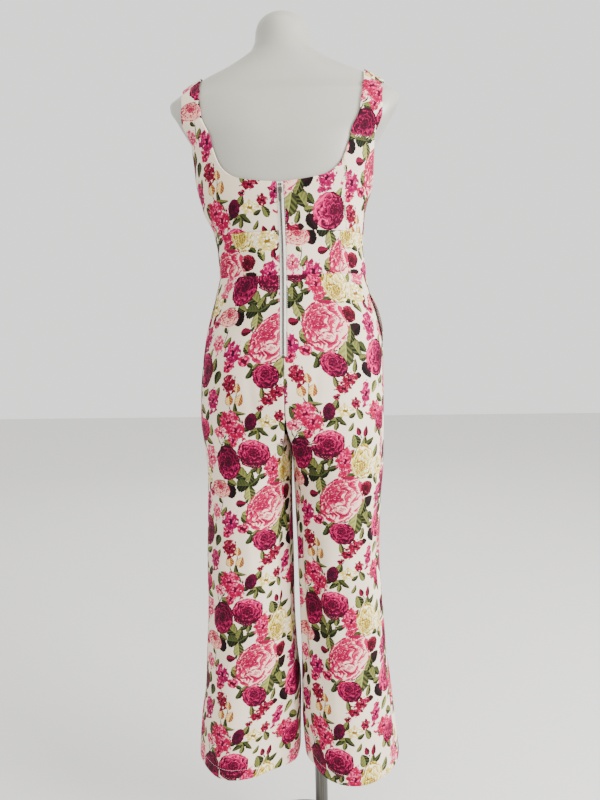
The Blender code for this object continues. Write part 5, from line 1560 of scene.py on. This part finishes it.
for side in "LR":
    half = mirrored(torso, side == "R")
    z = np.linspace(WAIST_SEAM + 0.002, NECK_BACK - 0.003, 200)
    p = turn_of(ZIP_HALF + BESIDE_ZIP, z)
    line, way = on_cloth(half, BODICE_CREASES, p, z)
    stitched("zip_stitches_above_" + side, line, way)
    trouser = lambda p, z, side=side: leg(p, z, side)
    z = np.linspace(ZIP_END - 0.0015, WAIST_SEAM - 0.002, 200)
    line, way = on_cloth(trouser, CREASES[side], leg_turn(turn_of(ZIP_HALF + BESIDE_ZIP, z)), z)
    stitched("zip_stitches_below_" + side, line, way)
    p = np.linspace(1.0, 359.0, 900)
    line, way = on_cloth(trouser, CREASES[side], p, np.full(900, HEM + HEM_ROW))
    stitched("hem_stitches_" + side, line, way)


# ---------------------------------------------------------------------------------
# Floor and light. A pale floor, and soft lamps: the strongest stands like a window on
# the wearer's right, a wide one hangs overhead, a weak one is opposite, a broad one before.
# ---------------------------------------------------------------------------------
corners = np.array([(-6, -6, 0), (6, -6, 0), (6, 6, 0), (-6, 6, 0)], dtype=float)
floor = shell("floor", corners, np.array([[0, 1, 2, 3]]), lift=0.0)
paint, surface = finish("pale_floor", Roughness=0.7)
surface.inputs["Base Color"].default_value = linear("#DAD9D6")
floor.data.materials.append(paint)

LAMPS = (
    ("window", (-2.7, 1.2, 2.0), 1.5, 240.0, "#FFFFFF"),
    ("ceiling", (-0.4, 1.4, 3.4), 2.0, 34.0, "#FFFDF8"),
    ("fill", (2.4, 1.8, 1.4), 2.0, 3.0, "#F4F7FF"),
    ("front", (0.6, -2.8, 2.2), 2.4, 20.0, "#FFFFFF"),
)
LAMP_AIM = (0.0, 0.0, 1.1)
for name, spot, size, watts, tint in LAMPS:
    lamp = bpy.data.lights.new(name, "AREA")
    lamp.size, lamp.energy, lamp.color = size, watts, linear(tint)[:3]
    lamp_object = bpy.data.objects.new(name, lamp)
    bpy.context.scene.collection.objects.link(lamp_object)
    back = np.array(spot) - np.array(LAMP_AIM)
    back = back / np.linalg.norm(back)
    side_way = np.cross((0.0, 0.0, 1.0), back)
    side_way = side_way / np.linalg.norm(side_way)
    turn = np.eye(4)
    turn[:3, 0], turn[:3, 1], turn[:3, 2], turn[:3, 3] = side_way, np.cross(back, side_way), back, spot
    lamp_object.matrix_world = Matrix(turn.tolist())

world = bpy.data.worlds.new("studio")
world.use_nodes = True
world.node_tree.nodes["Background"].inputs["Color"].default_value = linear("#E2E2E0")
world.node_tree.nodes["Background"].inputs["Strength"].default_value = 1.9
bpy.context.scene.world = world
